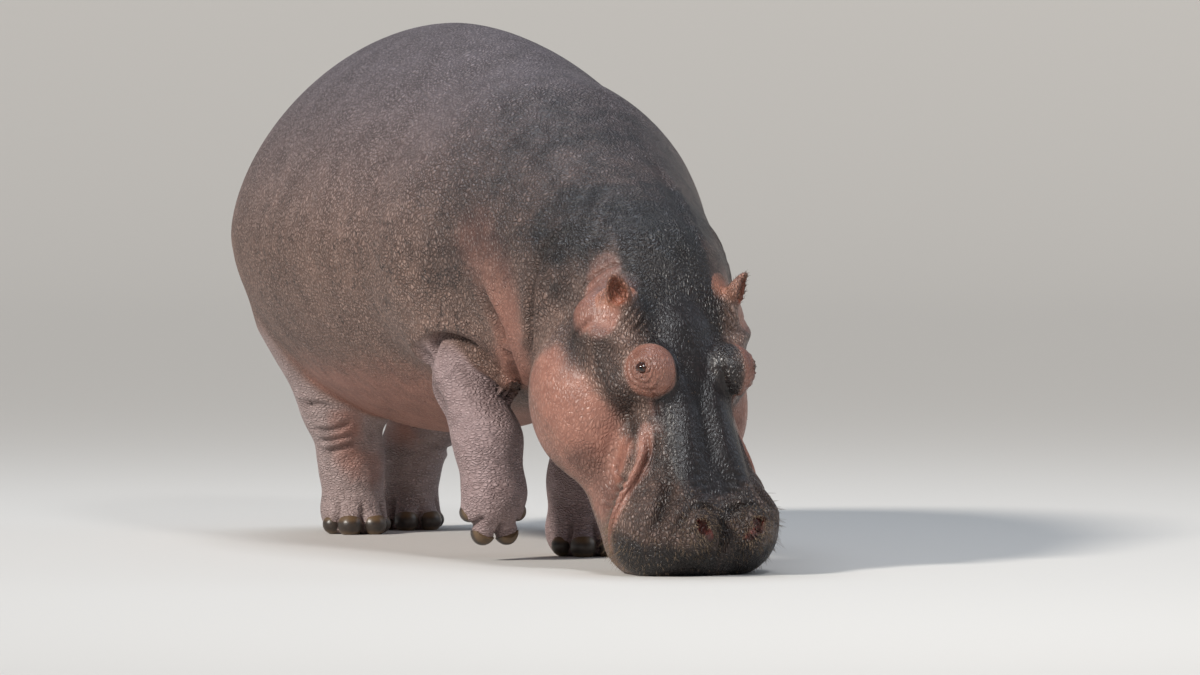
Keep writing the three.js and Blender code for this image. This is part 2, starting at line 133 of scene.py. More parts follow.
def blend(soft, first, *others):
    for other in others:
        first = soft_min(first, other, soft)
    return first


def chain(p, joints, soft):
    """Bars through joints, each joint x, y, z and radius."""
    links = [bar(p, a[:3], b[:3], a[3], b[3]) for a, b in zip(joints, joints[1:])]
    return blend(soft, *links)


def both_sides(p):
    """The points folded onto the left, for forms that are the same on both sides."""
    q = p.copy()
    q[:, 0] = np.abs(q[:, 0])
    return q


def at(along, aside, above):
    """A place on the head in the head's own frame."""
    return np.array([aside, -along, above], float)


BACK_HEIGHT, WIDEST_HEIGHT, BELLY_HEIGHT, BODY_WIDTH = 1497.0, 888.0, 316.0, 1132.0
PEAK_AT, BARREL_BEHIND, BARREL_AHEAD = 200.0, 1040.0, 1380.0
BACK_ROUNDNESS, BELLY_ROUNDNESS, REAR_BLUNTNESS = 1.67, 1.72, 2.4
FRONT_DROP, REAR_DROP = 80.0, 10.0


def barrel_form(p):
    """The barrel of the body: an arched back, widest low down, blunt behind and drawn out ahead."""
    x, y, z = p.T
    behind = y > PEAK_AT
    t = (y - PEAK_AT) / np.where(behind, BARREL_BEHIND, BARREL_AHEAD)
    z = z - WIDEST_HEIGHT + np.where(behind, REAR_DROP, FRONT_DROP) * t * t
    power = np.where(z > 0, BACK_ROUNDNESS, BELLY_ROUNDNESS)
    height = np.where(z > 0, BACK_HEIGHT - WIDEST_HEIGHT, WIDEST_HEIGHT - BELLY_HEIGHT)
    section = (np.abs(2 * x / BODY_WIDTH) ** power + np.abs(z / height) ** power) ** (1 / power)
    return (np.hypot(section, np.where(behind, np.abs(t) ** (REAR_BLUNTNESS / 2), t)) - 1) * height


def torso_form(p):
    """The barrel with haunches and shoulders, and the thick neck that runs down to the head."""
    haunch = ellipsoid(both_sides(p), [190, 700, 790], [185, 280, 370])
    left_shoulder = ellipsoid(p, [235, -620, 770], [205, 260, 350])
    right_shoulder = ellipsoid(p, [-245, -620, 830], [205, 260, 290])
    trunk = blend(80, barrel_form(p), haunch, left_shoulder, right_shoulder)
    neck = blend(
        120,
        bar(p, [0, -700, 850], [30, -1200, 715], 375, 295),
        bar(p, [0, -720, 940], [45, -1400, 765], 345, 190),
    )
    return blend(150, trunk, neck)


NOSTRIL = (730.0, 88.0, 16.0)
ORBIT = (281.0, 128.0, -16.0)
EAR = (82.0, 176.0, -14.0)


def head_form(p):
    """The head: broad muzzle, long nose between raised eyes, deep cheeks and lower jaw."""
    q = in_head(p)
    m = both_sides(q)
    muzzle = blend(
        50,
        ellipsoid(q, at(700, 0, -150), [195, 122, 132]),
        ellipsoid(m, at(684, 132, -165), [98, 112, 138]),
        bar(m, at(365, 76, -122), at(660, 126, -160), 74, 102),
        ellipsoid(m, at(NOSTRIL[0] - 12, NOSTRIL[1], NOSTRIL[2] - 42), [52, 62, 52]),
    )
    return blend(
        60,
        ellipsoid(q, at(130, 0, -168), [178, 220, 163]),
        bar(q, at(170, 0, -115), at(600, 0, -120), 118, 106),
        muzzle,
        ellipsoid(m, at(EAR[0] + 22, EAR[1] - 30, EAR[2] - 62), [60, 84, 70]),
        ellipsoid(m, at(*ORBIT), [58, 66, 56]),
        bar(m, at(EYE[0], 168, -98), at(95, 188, -124), 50, 68),
        ellipsoid(m, at(260, 184, -300), [124, 208, 165]),
        bar(m, at(300, 84, -320), at(640, 88, -292), 130, 98),
        ellipsoid(q, at(672, 0, -288), [150, 120, 95]),
    )


# Where each foot stands: sole, yaw, pitch and size.
FEET = {
    "fore_left": ([106, -650, 0], 4, 0, 1.0),
    "fore_right": ([-222, -815, 165], 4, 78, 0.93),
    "hind_left": ([105, 960, 0], 2, 0, 0.98),
    "hind_right": ([-122, 765, 0], -2, 0, 0.98),
}
# Each leg's joints as x, y, z and radius, then how softly they meet each other and the body.
LEGS = {
    "fore_left": (
        [[225, -620, 700, 190], [180, -610, 470, 125], [125, -620, 210, 92], [108, -640, 90, 90]],
        60, 70,
    ),
    "fore_right": (
        [[-262, -690, 700, 108], [-268, -755, 500, 90], [-237, -860, 330, 86], [-226, -872, 190, 82]],
        50, 24,
    ),
    "hind_left": (
        [[215, 770, 640, 200], [150, 850, 400, 120], [108, 940, 210, 84], [105, 950, 90, 90]],
        60, 70,
    ),
    "hind_right": (
        [[-215, 700, 640, 200], [-168, 715, 400, 120], [-128, 765, 210, 84], [-122, 760, 90, 90]],
        60, 70,
    ),
}
# Toes and nails: the turn of each from straight ahead, its reach and its radius.
TOES = ((-62, 80, 28), (-20, 104, 34), (20, 104, 34), (62, 80, 28))
TOE_HEIGHT = 30.0


def ahead(turn):
    """The way a toe points, in its foot's frame."""
    return np.array([math.sin(math.radians(turn)), -math.cos(math.radians(turn)), 0])


def toe_tip(turn, reach):
    return ahead(turn) * reach + [0, 0, TOE_HEIGHT]


def in_foot(p, limb):
    """Points in a foot's own frame: its sole's middle is the origin, and its toes point to -Y."""
    sole, yaw, pitch, size = FEET[limb]
    return (p - np.array(sole, float)) @ turned(yaw, pitch) / size


def from_foot(q, limb):
    sole, yaw, pitch, size = FEET[limb]
    return turned(yaw, pitch) @ (np.asarray(q, float) * size) + np.array(sole, float)


def limb_form(p, limb):
    """A leg with its foot and toes."""
    joints, soft, _ = LEGS[limb]
    q = in_foot(p, limb)
    toes = [bar(q, [0, 0, 60], toe_tip(turn, reach), 44, width) for turn, reach, width in TOES]
    foot = blend(22, ellipsoid(q, [0, 12, 60], [88, 98, 84]), *toes) * FEET[limb][3]
    return blend(40, chain(p, joints, soft), foot)


EAR_LEAN, EAR_PITCH, EAR_TURN = 10.0, 24.0, 38.0
EAR_CUP = [0, -20, 38]
# Chains of joints, each x, y, z and radius.
TAIL = [[0, 1120, 1000, 70], [0, 1190, 890, 48], [0, 1200, 760, 30], [0, 1195, 640, 22]]
ARM_FOLD = [[-352, -660, 570, 30], [-318, -760, 615, 36], [-252, -880, 560, 34], [-180, -960, 465, 20]]


def ear_axes(side):
    lean = np.array(Matrix.Rotation(math.radians(side * EAR_LEAN), 3, "Y"))
    return turned(HEAD_YAW + side * EAR_TURN, EAR_PITCH) @ lean


def in_ear(p, side):
    return (p - on_head([EAR], side)[0]) @ ear_axes(side)


EAR_TAPER_FROM, EAR_TAPER = 20.0, 0.006


def pointed(q):
    """Spreads the upper ear's points, so that a rounded form narrows to a tip."""
    taper = np.exp(np.maximum(q[:, 2] - EAR_TAPER_FROM, 0) * EAR_TAPER)
    return np.column_stack([q[:, 0] * taper, q[:, 1] * taper, q[:, 2]]), taper


def ear_form(p, side):
    """An ear: a pointed shell with a hollow ahead, on a short stalk."""
    q = in_ear(p, side)
    narrowed, taper = pointed(q)
    shell = ellipsoid(narrowed, [0, 0, 30], [36, 27, 52]) / taper
    hollow = ellipsoid(narrowed, EAR_CUP, [27, 28, 38]) / taper
    stalk = bar(q, [0, 5, 4], [0, 5, -67], 22, 36)
    return soft_max(soft_min(shell, stalk, 12), -hollow, 5)


def body_form(p):
    """The whole animal's flesh, the same forms as the solid model's with the ears grown on."""
    torso = torso_form(p)
    body = blend(60, torso, head_form(p), chain(p, TAIL, 20))
    legged = [soft_min(body, limb_form(p, limb), LEGS[limb][2]) for limb in LIMBS]
    flesh = soft_min(np.minimum.reduce(legged), chain(p, ARM_FOLD, 20), 24)
    near = length(p - HEAD_ORIGIN) < 420
    for side in (-1, 1):
        flesh[near] = soft_min(flesh[near], ear_form(p[near], side), 14)
    return flesh


# ---- The skin: its mesh, then the folds pressed into it ----


def only(piece):
    """Selects this piece alone."""
    bpy.ops.object.select_all(action="DESELECT")
    piece.select_set(True)
    bpy.context.view_layer.objects.active = piece


def points_of(piece):
    """A mesh's points in the body's millimetres."""
    co = np.empty(len(piece.data.vertices) * 3)
    piece.data.vertices.foreach_get("co", co)
    return co.reshape(-1, 3) / MM - ORIGIN_SHIFT


def set_points(piece, p):
    piece.data.vertices.foreach_set("co", ((p + ORIGIN_SHIFT) * MM).ravel())
    piece.data.update()


def normals_of(piece):
    n = np.empty(len(piece.data.vertices) * 3)
    piece.data.vertex_normals.foreach_get("vector", n)
    return n.reshape(-1, 3)


def linked(name, data):
    """A new object of the scene."""
    made = bpy.data.objects.new(name, data)
    bpy.context.scene.collection.objects.link(made)
    return made


def apply_modifier(piece, modifier):
    only(piece)
    bpy.ops.object.modifier_apply(modifier=modifier.name)


def settle(p, form, turns=3, step=1.5, most=12.0):
    """Moves points along the form's slope onto its surface."""
    p = p.copy()
    for _ in range(turns):
        here = form(p)
        slope = np.column_stack([form(p + np.eye(3)[k] * step) - here for k in range(3)]) / step
        steep = np.maximum((slope * slope).sum(1), 0.3)
        move = -(here / steep)[:, None] * slope
        reach = np.maximum(length(move), 1e-9)
        p += move * np.minimum(1, most / reach)[:, None]
    return p


# How often each point moves towards its neighbours' middle, and how much of the way.
RELAX_TURNS, RELAX_SHARE = 4, 0.5


def edges_of(piece):
    edges = np.empty(len(piece.data.edges) * 2, np.int64)
    piece.data.edges.foreach_get("vertices", edges)
    return edges.reshape(-1, 2)


def relaxed(p, edges):
    """Evens out the spacing of a mesh by drawing each point to the middle of its neighbours."""
    count = np.bincount(edges.ravel(), minlength=len(p))[:, None]
    for _ in range(RELAX_TURNS):
        total = np.zeros_like(p)
        for k in range(3):
            total[:, k] += np.bincount(edges[:, 0], p[edges[:, 1], k], minlength=len(p))
            total[:, k] += np.bincount(edges[:, 1], p[edges[:, 0], k], minlength=len(p))
        p = p + (total / count - p) * RELAX_SHARE
    return p


def smooth_step(low, high, value):
    t = np.clip((value - low) / (high - low), 0, 1)
    return t * t * (3 - 2 * t)


def curve_through(points, step=5.0):
    """A smooth path through a few points, as many close-set points."""
    p = np.asarray(points, float)
    if len(p) == 1:
        return p
    p = np.vstack([2 * p[0] - p[1], p, 2 * p[-1] - p[-2]])
    path = []
    for a, b, c, d in zip(p, p[1:], p[2:], p[3:]):
        count = max(2, int(np.linalg.norm(c - b) / step))
        for t in np.linspace(0, 1, count, endpoint=False):
            bend = 2 * b + (c - a) * t + (2 * a - 5 * b + 4 * c - d) * t * t
            path.append((bend + (3 * b - a - 3 * c + d) * t**3) / 2)
    path.append(p[-2])
    return np.array(path)


def nearest(p, path, reach):
    """The points within reach of a path, their distances to it, and how far along it they are."""
    low, high = path.min(0) - reach, path.max(0) + reach
    close = np.flatnonzero(((p > low) & (p < high)).all(1))
    best = np.full(len(close), np.inf)
    share = np.zeros(len(close))
    q = p[close]
    last = max(len(path) - 2, 0)
    for n in range(max(len(path) - 1, 1)):
        a = path[n]
        span = path[min(n + 1, len(path) - 1)] - a
        t = np.clip((q - a) @ span / max(span @ span, 1e-9), 0, 1)
        away = length(q - a - t[:, None] * span)
        nearer = away < best
        best[nearer] = away[nearer]
        share[nearer] = ((n + t) / (last + 1))[nearer]
    keep = best < reach
    return close[keep], best[keep], share[keep]


def on_body(points):
    """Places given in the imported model's millimetres, as the body's own."""
    return [np.array(place) - ORIGIN_SHIFT for place in points]


def unit(v):
    return np.asarray(v, float) / np.linalg.norm(v)


def eye_axes(side):
    """Columns: along the lids to their inner corner, towards the brow, and out of the eye."""
    gaze = unit([side * 0.70, -0.28, 0.66])
    corner = np.array([-side * 0.55, -0.8, 0.0])
    corner = unit(corner - gaze * (corner @ gaze))
    return HEAD_TURN @ np.column_stack([corner, -side * np.cross(gaze, corner), gaze])


def in_eye(p, side):
    return (p - on_head([EYE], side)[0]) @ eye_axes(side)


def in_nostril(p, side):
    long_way = unit([-side * 47, -38, -32])
    out = np.array([side * 0.26, -0.53, 0.81])
    out = unit(out - long_way * (out @ long_way))
    axes = HEAD_TURN @ np.column_stack([long_way, np.cross(out, long_way), out])
    return (p - on_head([SLIT_PLACE], side)[0]) @ axes


# The lids' opening is given as its radii along the lids, across them and out of the eye.
LID_THICKNESS = 4.5
LID_OPENING = (17.5, 12.0, 19.0)
# The nostril's place on the head, then its slit's middle and radii in its own frame.
SLIT_PLACE, SLIT_MIDDLE, SLIT_RADII = (738, 78, 8), [0, 0, -8], [42, 16.5, 44]
CHIN = -420.0


def on_front(q, start):
    """Whether points of the head's frame lie further along it than start, and over its chin."""
    return (-q[:, 1] > start) & (q[:, 2] > CHIN)


def skin_form(p):
    """The flesh with what only the skin shows: lids, nostril slits and the snout's shoulders."""
    surface = body_form(p)
    q = in_head(p)
    face = np.flatnonzero(on_front(q, -150))
    m = both_sides(q[face])
    shoulders = bar(m, at(330, 52, -58), at(640, 80, -60), 50, 52)
    orbits = ellipsoid(m, at(ORBIT[0], ORBIT[1] - 6, ORBIT[2] + 6), [56, 60, 58])
    surface[face] = blend(26, surface[face], shoulders, orbits)
    for side in (-1, 1):
        e = in_eye(p, side)
        close = length(e) < 90
        lid = EYE_RADIUS + LID_THICKNESS
        shut = soft_min(surface[close], length(e[close]) - lid, 10)
        opening = ellipsoid(e[close], [0, 0, lid], LID_OPENING)
        surface[close] = soft_max(shut, -opening, 3)
        s = in_nostril(p, side)
        close = length(s) < 90
        slit = ellipsoid(s[close], SLIT_MIDDLE, SLIT_RADII)
        surface[close] = soft_max(surface[close], -slit, 4)
    return surface


# A fold: places it runs through, how wide and deep it is, and how far its lips swell, millimetres.
# On the head a place is (along, aside, above), and each fold is on both sides.
HEAD_FOLDS = {
    "mouth": (
        [(429, 143, -72), (488, 150, -72), (519, 165, -81), (547, 182, -95), (571, 201, -114),
         (598, 219, -137), (630, 233, -158), (659, 235, -188), (681, 219, -237)],
        7, 17, 5,
    ),
    "upper lip": (
        [(433, 112, -47), (466, 126, -56), (503, 141, -62), (536, 160, -73), (558, 180, -87),
         (580, 199, -105), (609, 218, -116), (632, 229, -129)],
        4, 5, 2,
    ),
    "lower lip": ([(447, 168, -106), (492, 179, -115), (514, 190, -139)], 6, 10, 4),
    "mouth corner": ([(467, 175, -174), (489, 178, -200), (522, 187, -180), (553, 196, -115)], 6, 9, 4),
    "cross 1": ([(528, 183, -240), (560, 204, -165), (573, 205, -124)], 5, 7, 3),
    "cross 2": ([(545, 191, -272), (560, 189, -230), (584, 213, -147)], 5, 6, 3),
    "cross 3": ([(558, 194, -289), (577, 194, -246), (609, 224, -154)], 5, 6, 3),
    "cheek": ([(348, 173, -112), (392, 164, -125), (443, 170, -117)], 22, 14, 0),
    "tear": ([(335, 150, -6), (350, 131, -12), (378, 114, -42), (420, 109, -45)], 5, 5, 3),
    "lip pad": ([(568, 104, -43), (607, 126, -42), (649, 154, -32), (690, 176, -42),
                 (727, 188, -63)], 15, 18, 8),
    "nostril rim": ([(740, 140, -14), (715, 134, -4), (698, 123, 8), (681, 108, 6), (674, 81, 9),
                     (676, 39, -5), (697, 14, -11)], 9, 10, 6),
    "cheekbone": ([(118, 246, -100), (145, 239, -85), (188, 193, -41), (225, 160, -8)], 22, -16, 0),
    "snout 1": ([(572, 16, -10), (578, 60, -12), (592, 100, -30)], 4, 3, 1),
    "snout 2": ([(600, 12, -10), (604, 56, -12), (622, 104, -30)], 4, 4, 1),
    "snout 3": ([(625, 20, -10), (628, 52, -12), (640, 90, -20)], 4, 4, 1),
    "snout 4": ([(648, 14, -10), (650, 44, -12), (656, 76, -16)], 4, 4, 1),
    "ear fan 1": ([(85, 135, -13), (130, 164, -13), (151, 190, -31)], 5, 5, 3),
    "ear fan 2": ([(98, 121, -10), (142, 155, -13), (165, 186, -33)], 5, 5, 3),
    "ear fan 3": ([(116, 108, -7), (153, 141, -14), (175, 175, -29)], 5, 5, 3),
    "ear side": ([(108, 234, -68), (121, 249, -124), (127, 249, -182)], 5, 6, 3),
    "orbit": (
        [(240, 92, 18), (285, 84, 14), (325, 92, 2), (350, 120, -20), (345, 160, -45), (315, 185, -60)],
        8, 7, 0,
    ),
}
MIDDLE_FOLDS = {
    "lips": ([(690, 0, -13), (746, 0, -25), (775, 0, -45), (800, 0, -80)], 10, 14, 3),
    "bridge": ([(300, 0, 0), (400, 0, -8), (500, 0, -14), (590, 0, -16)], 22, 6, 5),
}

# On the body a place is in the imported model's millimetres.
ARM_ARCH = [(-366, -420, 520), (-373, -428, 568), (-370, -460, 602), (-351, -498, 616), (-317, -555, 606),
            (-289, -600, 582), (-256, -615, 539)]
BODY_FOLDS = {
    "nape 1": ([(20, -1093, 974), (21, -1188, 916), (36, -1227, 873), (66, -1253, 820)], 15, 4, 2),
    "nape 2": ([(51, -1070, 990), (55, -1205, 900), (81, -1244, 836), (105, -1255, 788)], 15, 4, 2),
    "nape 3": ([(109, -781, 1130), (143, -909, 1048), (126, -1118, 942), (132, -1229, 830)], 18, 6, 3),
    "behind jaw": (
        [(-146, -1048, 920), (-189, -1006, 898), (-225, -977, 860), (-244, -968, 807), (-254, -963, 753),
         (-258, -956, 693), (-246, -921, 617), (-213, -807, 532)],
        12, 13, 5,
    ),
    "behind left jaw": (
        [(226, -1048, 920), (269, -1006, 898), (305, -977, 860), (324, -968, 807), (334, -963, 753),
         (330, -956, 693), (310, -921, 617), (270, -807, 532)],
        12, 13, 5,
    ),
    "throat": ([(-339, -711, 803), (-319, -753, 722), (-285, -781, 641), (-233, -729, 544),
                (-159, -592, 466)], 14, 14, 6),
    "left throat": ([(370, -711, 803), (350, -753, 722), (320, -781, 641), (270, -729, 544),
                     (190, -592, 466)], 14, 14, 6),
    "below ear": ([(-193, -1103, 696), (-221, -1101, 647), (-252, -1126, 608)], 6, 6, 3),
    "over ear": ([(-181, -1116, 733), (-153, -1151, 782), (-105, -1193, 820), (-68, -1217, 831)], 6, 6, 3),
    "behind arm": ([(-372, -370, 600), (-366, -380, 540), (-352, -420, 470), (-330, -480, 400)], 30, 24, 0),
    "arm arch": (ARM_ARCH, 12, 26, 0),
    "arm lip": ([(-368, -230, 575), (-391, -381, 615), (-378, -466, 639), (-349, -538, 649),
                 (-320, -607, 640), (-291, -660, 613), (-257, -678, 572)], 24, -15, 0),
}
# Above a hind foot, in that foot's own frame, with +X on the outer side.
HIND_FOLDS = {
    "ankle 1": ([(110, -44, 242), (66, -112, 264), (11, -134, 290)], 10, 5, 4),
    "ankle 2": ([(129, -66, 287), (86, -126, 292), (33, -155, 315)], 9, 4, 3),
    "ankle 3": ([(149, -81, 320), (106, -133, 316), (51, -174, 343)], 10, 5, 4),
    "ankle 4": ([(162, -36, 410), (144, -157, 393), (98, -175, 370)], 10, 5, 4),
}
TOE_CLEFTS = (-41, 0, 41)
CLEFT = ([(101, 4), (98, 35), (92, 70), (86, 104)], 7, 10, 2)


def hind_folds():
    """The folds above both hind feet."""
    for points, *sizes in HIND_FOLDS.values():
        for limb, outer in (("hind_left", 1), ("hind_right", -1)):
            yield [from_foot([outer * x, y, z], limb) for x, y, z in points], *sizes


def all_folds():
    """Every fold of the skin as (path, width, depth, lip)."""
    folds = [(on_head(points, side), *sizes) for points, *sizes in HEAD_FOLDS.values() for side in (1, -1)]
    folds += [(on_head(points), *sizes) for points, *sizes in MIDDLE_FOLDS.values()]
    folds += [(on_body(points), *sizes) for points, *sizes in BODY_FOLDS.values()]
    folds += hind_folds()
    points, *sizes = CLEFT
    for limb in LIMBS:
        for turn in TOE_CLEFTS:
            path = [from_foot(ahead(turn) * reach + [0, 0, z], limb) for reach, z in points]
            folds.append((path, *sizes))
    return folds


# In widths of the fold: how far it reaches, and where its lips lie and how wide they are.
FOLD_REACH, LIP_AT, LIP_WIDTH = 5, 2.2, 1.1
# How fast a fold fades in from its ends, and how deep one is when the shade painted in its crease is full.
END_FADE, FULL_SHADE_DEPTH = 4.5, 8


def press_folds(p, normals, folds):
    """Presses each fold into the skin along its normals; returns the points and the mask of painted shade
    in its creases.
    """
    push = np.zeros(len(p))
    crease = np.zeros(len(p))
    paths = [curve_through(points) for points, *_ in folds]
    ends = np.cumsum([len(path) for path in paths])[:-1]
    paths = np.split(settle(np.concatenate(paths), skin_form, turns=5, most=40), ends)
    for path, (_, width, depth, lip) in zip(paths, folds):
        who, away, share = nearest(p, path, width * FOLD_REACH)
        fade = np.minimum(1, END_FADE * share) * np.minimum(1, END_FADE * (1 - share))
        trough = np.exp(-((away / width) ** 2))
        swell = np.exp(-(((away - LIP_AT * width) / (LIP_WIDTH * width)) ** 2))
        push[who] += fade * (lip * swell - depth * trough)
        # Painted shade along the fold's trough, fuller in deeper folds.
        crease[who] = np.maximum(crease[who], fade * trough * min(1, depth / FULL_SHADE_DEPTH))
    return p + push[:, None] * normals, crease


# Soft rings round each eye: radius, height and width; the last ones only run below the eye.
LID_RINGS = ((13.0, 2.4, 2.8), (19.5, -3.6, 3.0), (26.5, 2.0, 3.4))
LOWER_RINGS = ((33.0, -3.4, 3.2), (40.5, 2.2, 3.6), (48.5, -3.2, 3.4))
# The rings reach this far from the eye, are this much longer than high, and end behind the ball.
RINGS_REACH, RING_STRETCH, RINGS_BEHIND = 80, 1.3, -6


def press_lids(p, normals):
    """Rings of soft folds around each eye; returns the points and a mask of painted shade in the sunken
    rings, at the lids' edge and round the whole eye.
    """
    push = np.zeros(len(p))
    mask = np.zeros(len(p))
    for side in (-1, 1):
        e = in_eye(p, side)
        # Long waves round the eye keep the rings from being true circles.
        swirl = np.arctan2(e[:, 1], e[:, 0])
        ring = np.hypot(e[:, 0] / RING_STRETCH, e[:, 1])
        ring = ring + 1.6 * np.sin(2 * swirl + 0.7) + 1.0 * np.sin(5 * swirl) + 0.5 * np.sin(11 * swirl)
        here = (length(e) < RINGS_REACH) & (e[:, 2] > RINGS_BEHIND)
        below = smooth_step(0.45, -0.35, np.sin(swirl)) * (0.75 + 0.25 * np.sin(3 * swirl + 0.4))
        for rings, strength in ((LID_RINGS, 0.8 + 0.2 * np.sin(swirl)), (LOWER_RINGS, below)):
            for radius, height, width in rings:
                band = np.where(here, np.exp(-(((ring - radius) / width) ** 2)), 0) * strength
                push += band * height
                # Painted shade in each ring that sinks in.
                if height < 0:
                    mask = np.maximum(mask, 0.9 * band)
        # Painted shade at the lids' edge by the opening, and a lighter darkening over the whole eye's
        # surround.
        mask = np.maximum(mask, np.where(here, smooth_step(13.5, 10.5, ring), 0))
        mask = np.maximum(mask, 0.65 * smooth_step(RINGS_REACH, 40, length(e)))
    return p + push[:, None] * normals, mask


def paint(p, points, radius, soft, value):
    """A soft mask along a path: full within radius, gone at radius + soft."""
    path = curve_through(points, 20.0)
    mask = np.zeros(len(p))
    who, away, _ = nearest(p, path, radius + soft)
    mask[who] = value * (1 - smooth_step(radius, radius + soft, away))
    return mask


def head_dabs(p, dabs):
    """Painted dabs on both sides of the head: places, radius, softness, strength."""
    mask = np.zeros(len(p))
    for points, radius, soft, value in dabs:
        for side in (1, -1):
            mask = np.maximum(mask, paint(p, on_head(points, side), radius, soft, value))
    return mask


def body_dabs(p, dabs):
    """Painted dabs on the body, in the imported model's millimetres."""
    mask = np.zeros(len(p))
    for points, radius, soft, value in dabs:
        mask = np.maximum(mask, paint(p, on_body(points), radius, soft, value))
    return mask


# The neck bends to the left: its left side lies this much further out than its right.
NECK_BEND = 30


def on_left(points):
    return [(NECK_BEND - x, y, z) for x, y, z in points]


PINK_HEAD = (
    ([(210, 301, -264), (282, 292, -225), (381, 240, -200)], 62, 80, 0.85),
    ([(300, 250, -330), (430, 205, -270), (520, 195, -250)], 60, 70, 0.7),
    ([(448, 180, -150), (500, 190, -190)], 26, 44, 0.85),
    ([(-42, 150, -104), (41, 214, -109), (90, 232, -100)], 34, 40, 1.0),
    ([(20, 120, -50), (60, 160, -40), (110, 200, -50), (140, 222, -66)], 24, 26, 0.95),
    ([(335, 150, -6), (378, 118, -40), (430, 112, -45)], 8, 26, 0.75),
    ([(429, 143, -72), (519, 165, -81), (571, 201, -114), (630, 233, -158), (690, 219, -237)], 12, 26, 0.9),
)
THROAT = [(-336, -700, 905), (-326, -732, 858), (-300, -826, 751), (-266, -810, 614), (-200, -690, 505)]
PINK_BODY = (
    (THROAT, 26, 110, 0.75),
    (on_left(THROAT), 26, 110, 0.75),
    ([(-199, 926, 340), (-165, 989, 235), (-93, 1002, 189)], 20, 70, 0.6),
    ([(60, 1190, 330), (100, 1185, 400)], 50, 80, 0.75),
)
DARK_HEAD = (
    ([(-160, 0, -40), (100, 0, 0), (420, 0, -10), (520, 0, -15)], 80, 120, 1.0),
    ([(215, 50, 10), (330, 40, 10), (430, 55, -20)], 40, 40, 1.0),
    ([(182, 228, -75), (267, 215, -77), (333, 185, -91), (400, 172, -105)], 16, 70, 0.62),
    ([(560, 0, -20), (760, 0, -40)], 90, 110, 0.74),
    ([(440, 235, -262), (520, 205, -262), (600, 222, -215)], 20, 80, 0.42),
    ([(640, 120, -60), (720, 130, -110), (740, 90, -60)], 90, 60, 0.6),
    ([(756, 213, -168), (791, 158, -114), (803, 51, -89)], 30, 110, 0.9),
    ([(455, 100, -50), (560, 130, -60)], 22, 50, 0.7),
    ([(-55, 204, -247), (103, 250, -170), (170, 262, -150)], 24, 80, 0.6),
)
NECK_SIDE = [(-237, -809, 994), (-207, -1059, 754), (-225, -1000, 690)]
DARK_BODY = (
    (NECK_SIDE, 50, 110, 0.35),
    (on_left(NECK_SIDE), 50, 110, 0.35),
    ([(-150, -1000, 930), (0, -1100, 970), (120, -1060, 960)], 100, 140, 0.8),
)
# Where the hide's pattern fades into smooth skin.
CALM_HEAD = (
    ([(150, 0, 0), (330, 10, 0), (480, 30, -15), (570, 30, -20)], 62, 46, 0.8),
    ([(ORBIT[0], ORBIT[1], ORBIT[2] + 40)], 50, 40, 0.4),
)
# How far out from the middle of the face the bare skin of each orbit begins, and its reach.
BARE_FROM = {-1: 72.0, 1: 130.0}
BARE_REACH = 66.0


def masks_of(p, crease, rings):
    """The skin's markings and its painted crease shade, one number from 0 to 1 for each point: y runs to
    the rear and z up.
    """
    _, y, z = p.T
    q = in_head(p)
    head = smooth_step(70, 10, head_form(p)) * smooth_step(-250, 60, -q[:, 1])
    limb = np.minimum.reduce([limb_form(p, name) for name in LIMBS])
    legs = smooth_step(46, 4, limb) * smooth_step(680, 560, z) * (1 - head)
    down = smooth_step(620, 430, z) * smooth_step(-1000, -500, y)
    belly = down * (1 - legs) * 0.8
    pink = np.maximum.reduce([head_dabs(p, PINK_HEAD), body_dabs(p, PINK_BODY), belly])
    nape = smooth_step(-480, -1050, y) * smooth_step(560, 860, z) * 0.62
    dark = np.maximum.reduce([head_dabs(p, DARK_HEAD), body_dabs(p, DARK_BODY), nape])
    inner_ear, ear, red, bare = np.zeros((4, len(p)))
    for side in (-1, 1):
        e = in_ear(p, side)
        near = length(e - [0, 0, 30]) < 75
        cup = ellipsoid(pointed(e)[0], EAR_CUP, [31, 32, 42])
        inner_ear = np.maximum(inner_ear, np.where(near, smooth_step(3, -4, cup), 0))
        ear = np.maximum(ear, np.where(near, smooth_step(-18, 8, e[:, 2]), 0))
        s = in_nostril(p, side)
        deep = ellipsoid(s, SLIT_MIDDLE, SLIT_RADII)
        red = np.maximum(red, np.where(length(s) < 60, smooth_step(2, -2, deep), 0))
        orbit = length(q - at(ORBIT[0], side * ORBIT[1], ORBIT[2] + 8))
        outer = smooth_step(BARE_FROM[side] - 14, BARE_FROM[side] + 8, side * q[:, 0])
        bare = np.maximum(bare, smooth_step(BARE_REACH + 16, BARE_REACH, orbit) * outer)
    pink = np.maximum(pink, 0.9 * bare)
    dark = dark * (1 - bare) * (1 - ear)
    wet = np.maximum.reduce([0.7 * smooth_step(-150, -900, y), head * 0.95, dark])
    # The crease mask carries the folds' and the lids' painted shade.
    return {
        "pink": pink, "dark": dark, "inner_ear": inner_ear, "ear": ear, "red": red,
        "wet": wet * (1 - legs), "legs": legs, "crease": np.maximum(crease, rings), "head": head,
        "calm": head_dabs(p, CALM_HEAD),
    }


def keep_masks(piece, masks):
    """Keeps each mask with the mesh, where its material reads it by name."""
    for name, values in masks.items():
        layer = piece.data.attributes.new(name, "FLOAT", "POINT")
        layer.data.foreach_set("value", np.asarray(values, np.float32))


# ---- Materials ----


def linear(colour):
    """A screen colour as the renderer's own."""
    return tuple(c / 12.92 if c <= 0.04045 else ((c + 0.055) / 1.055) ** 2.4 for c in colour[:3]) + (1.0,)


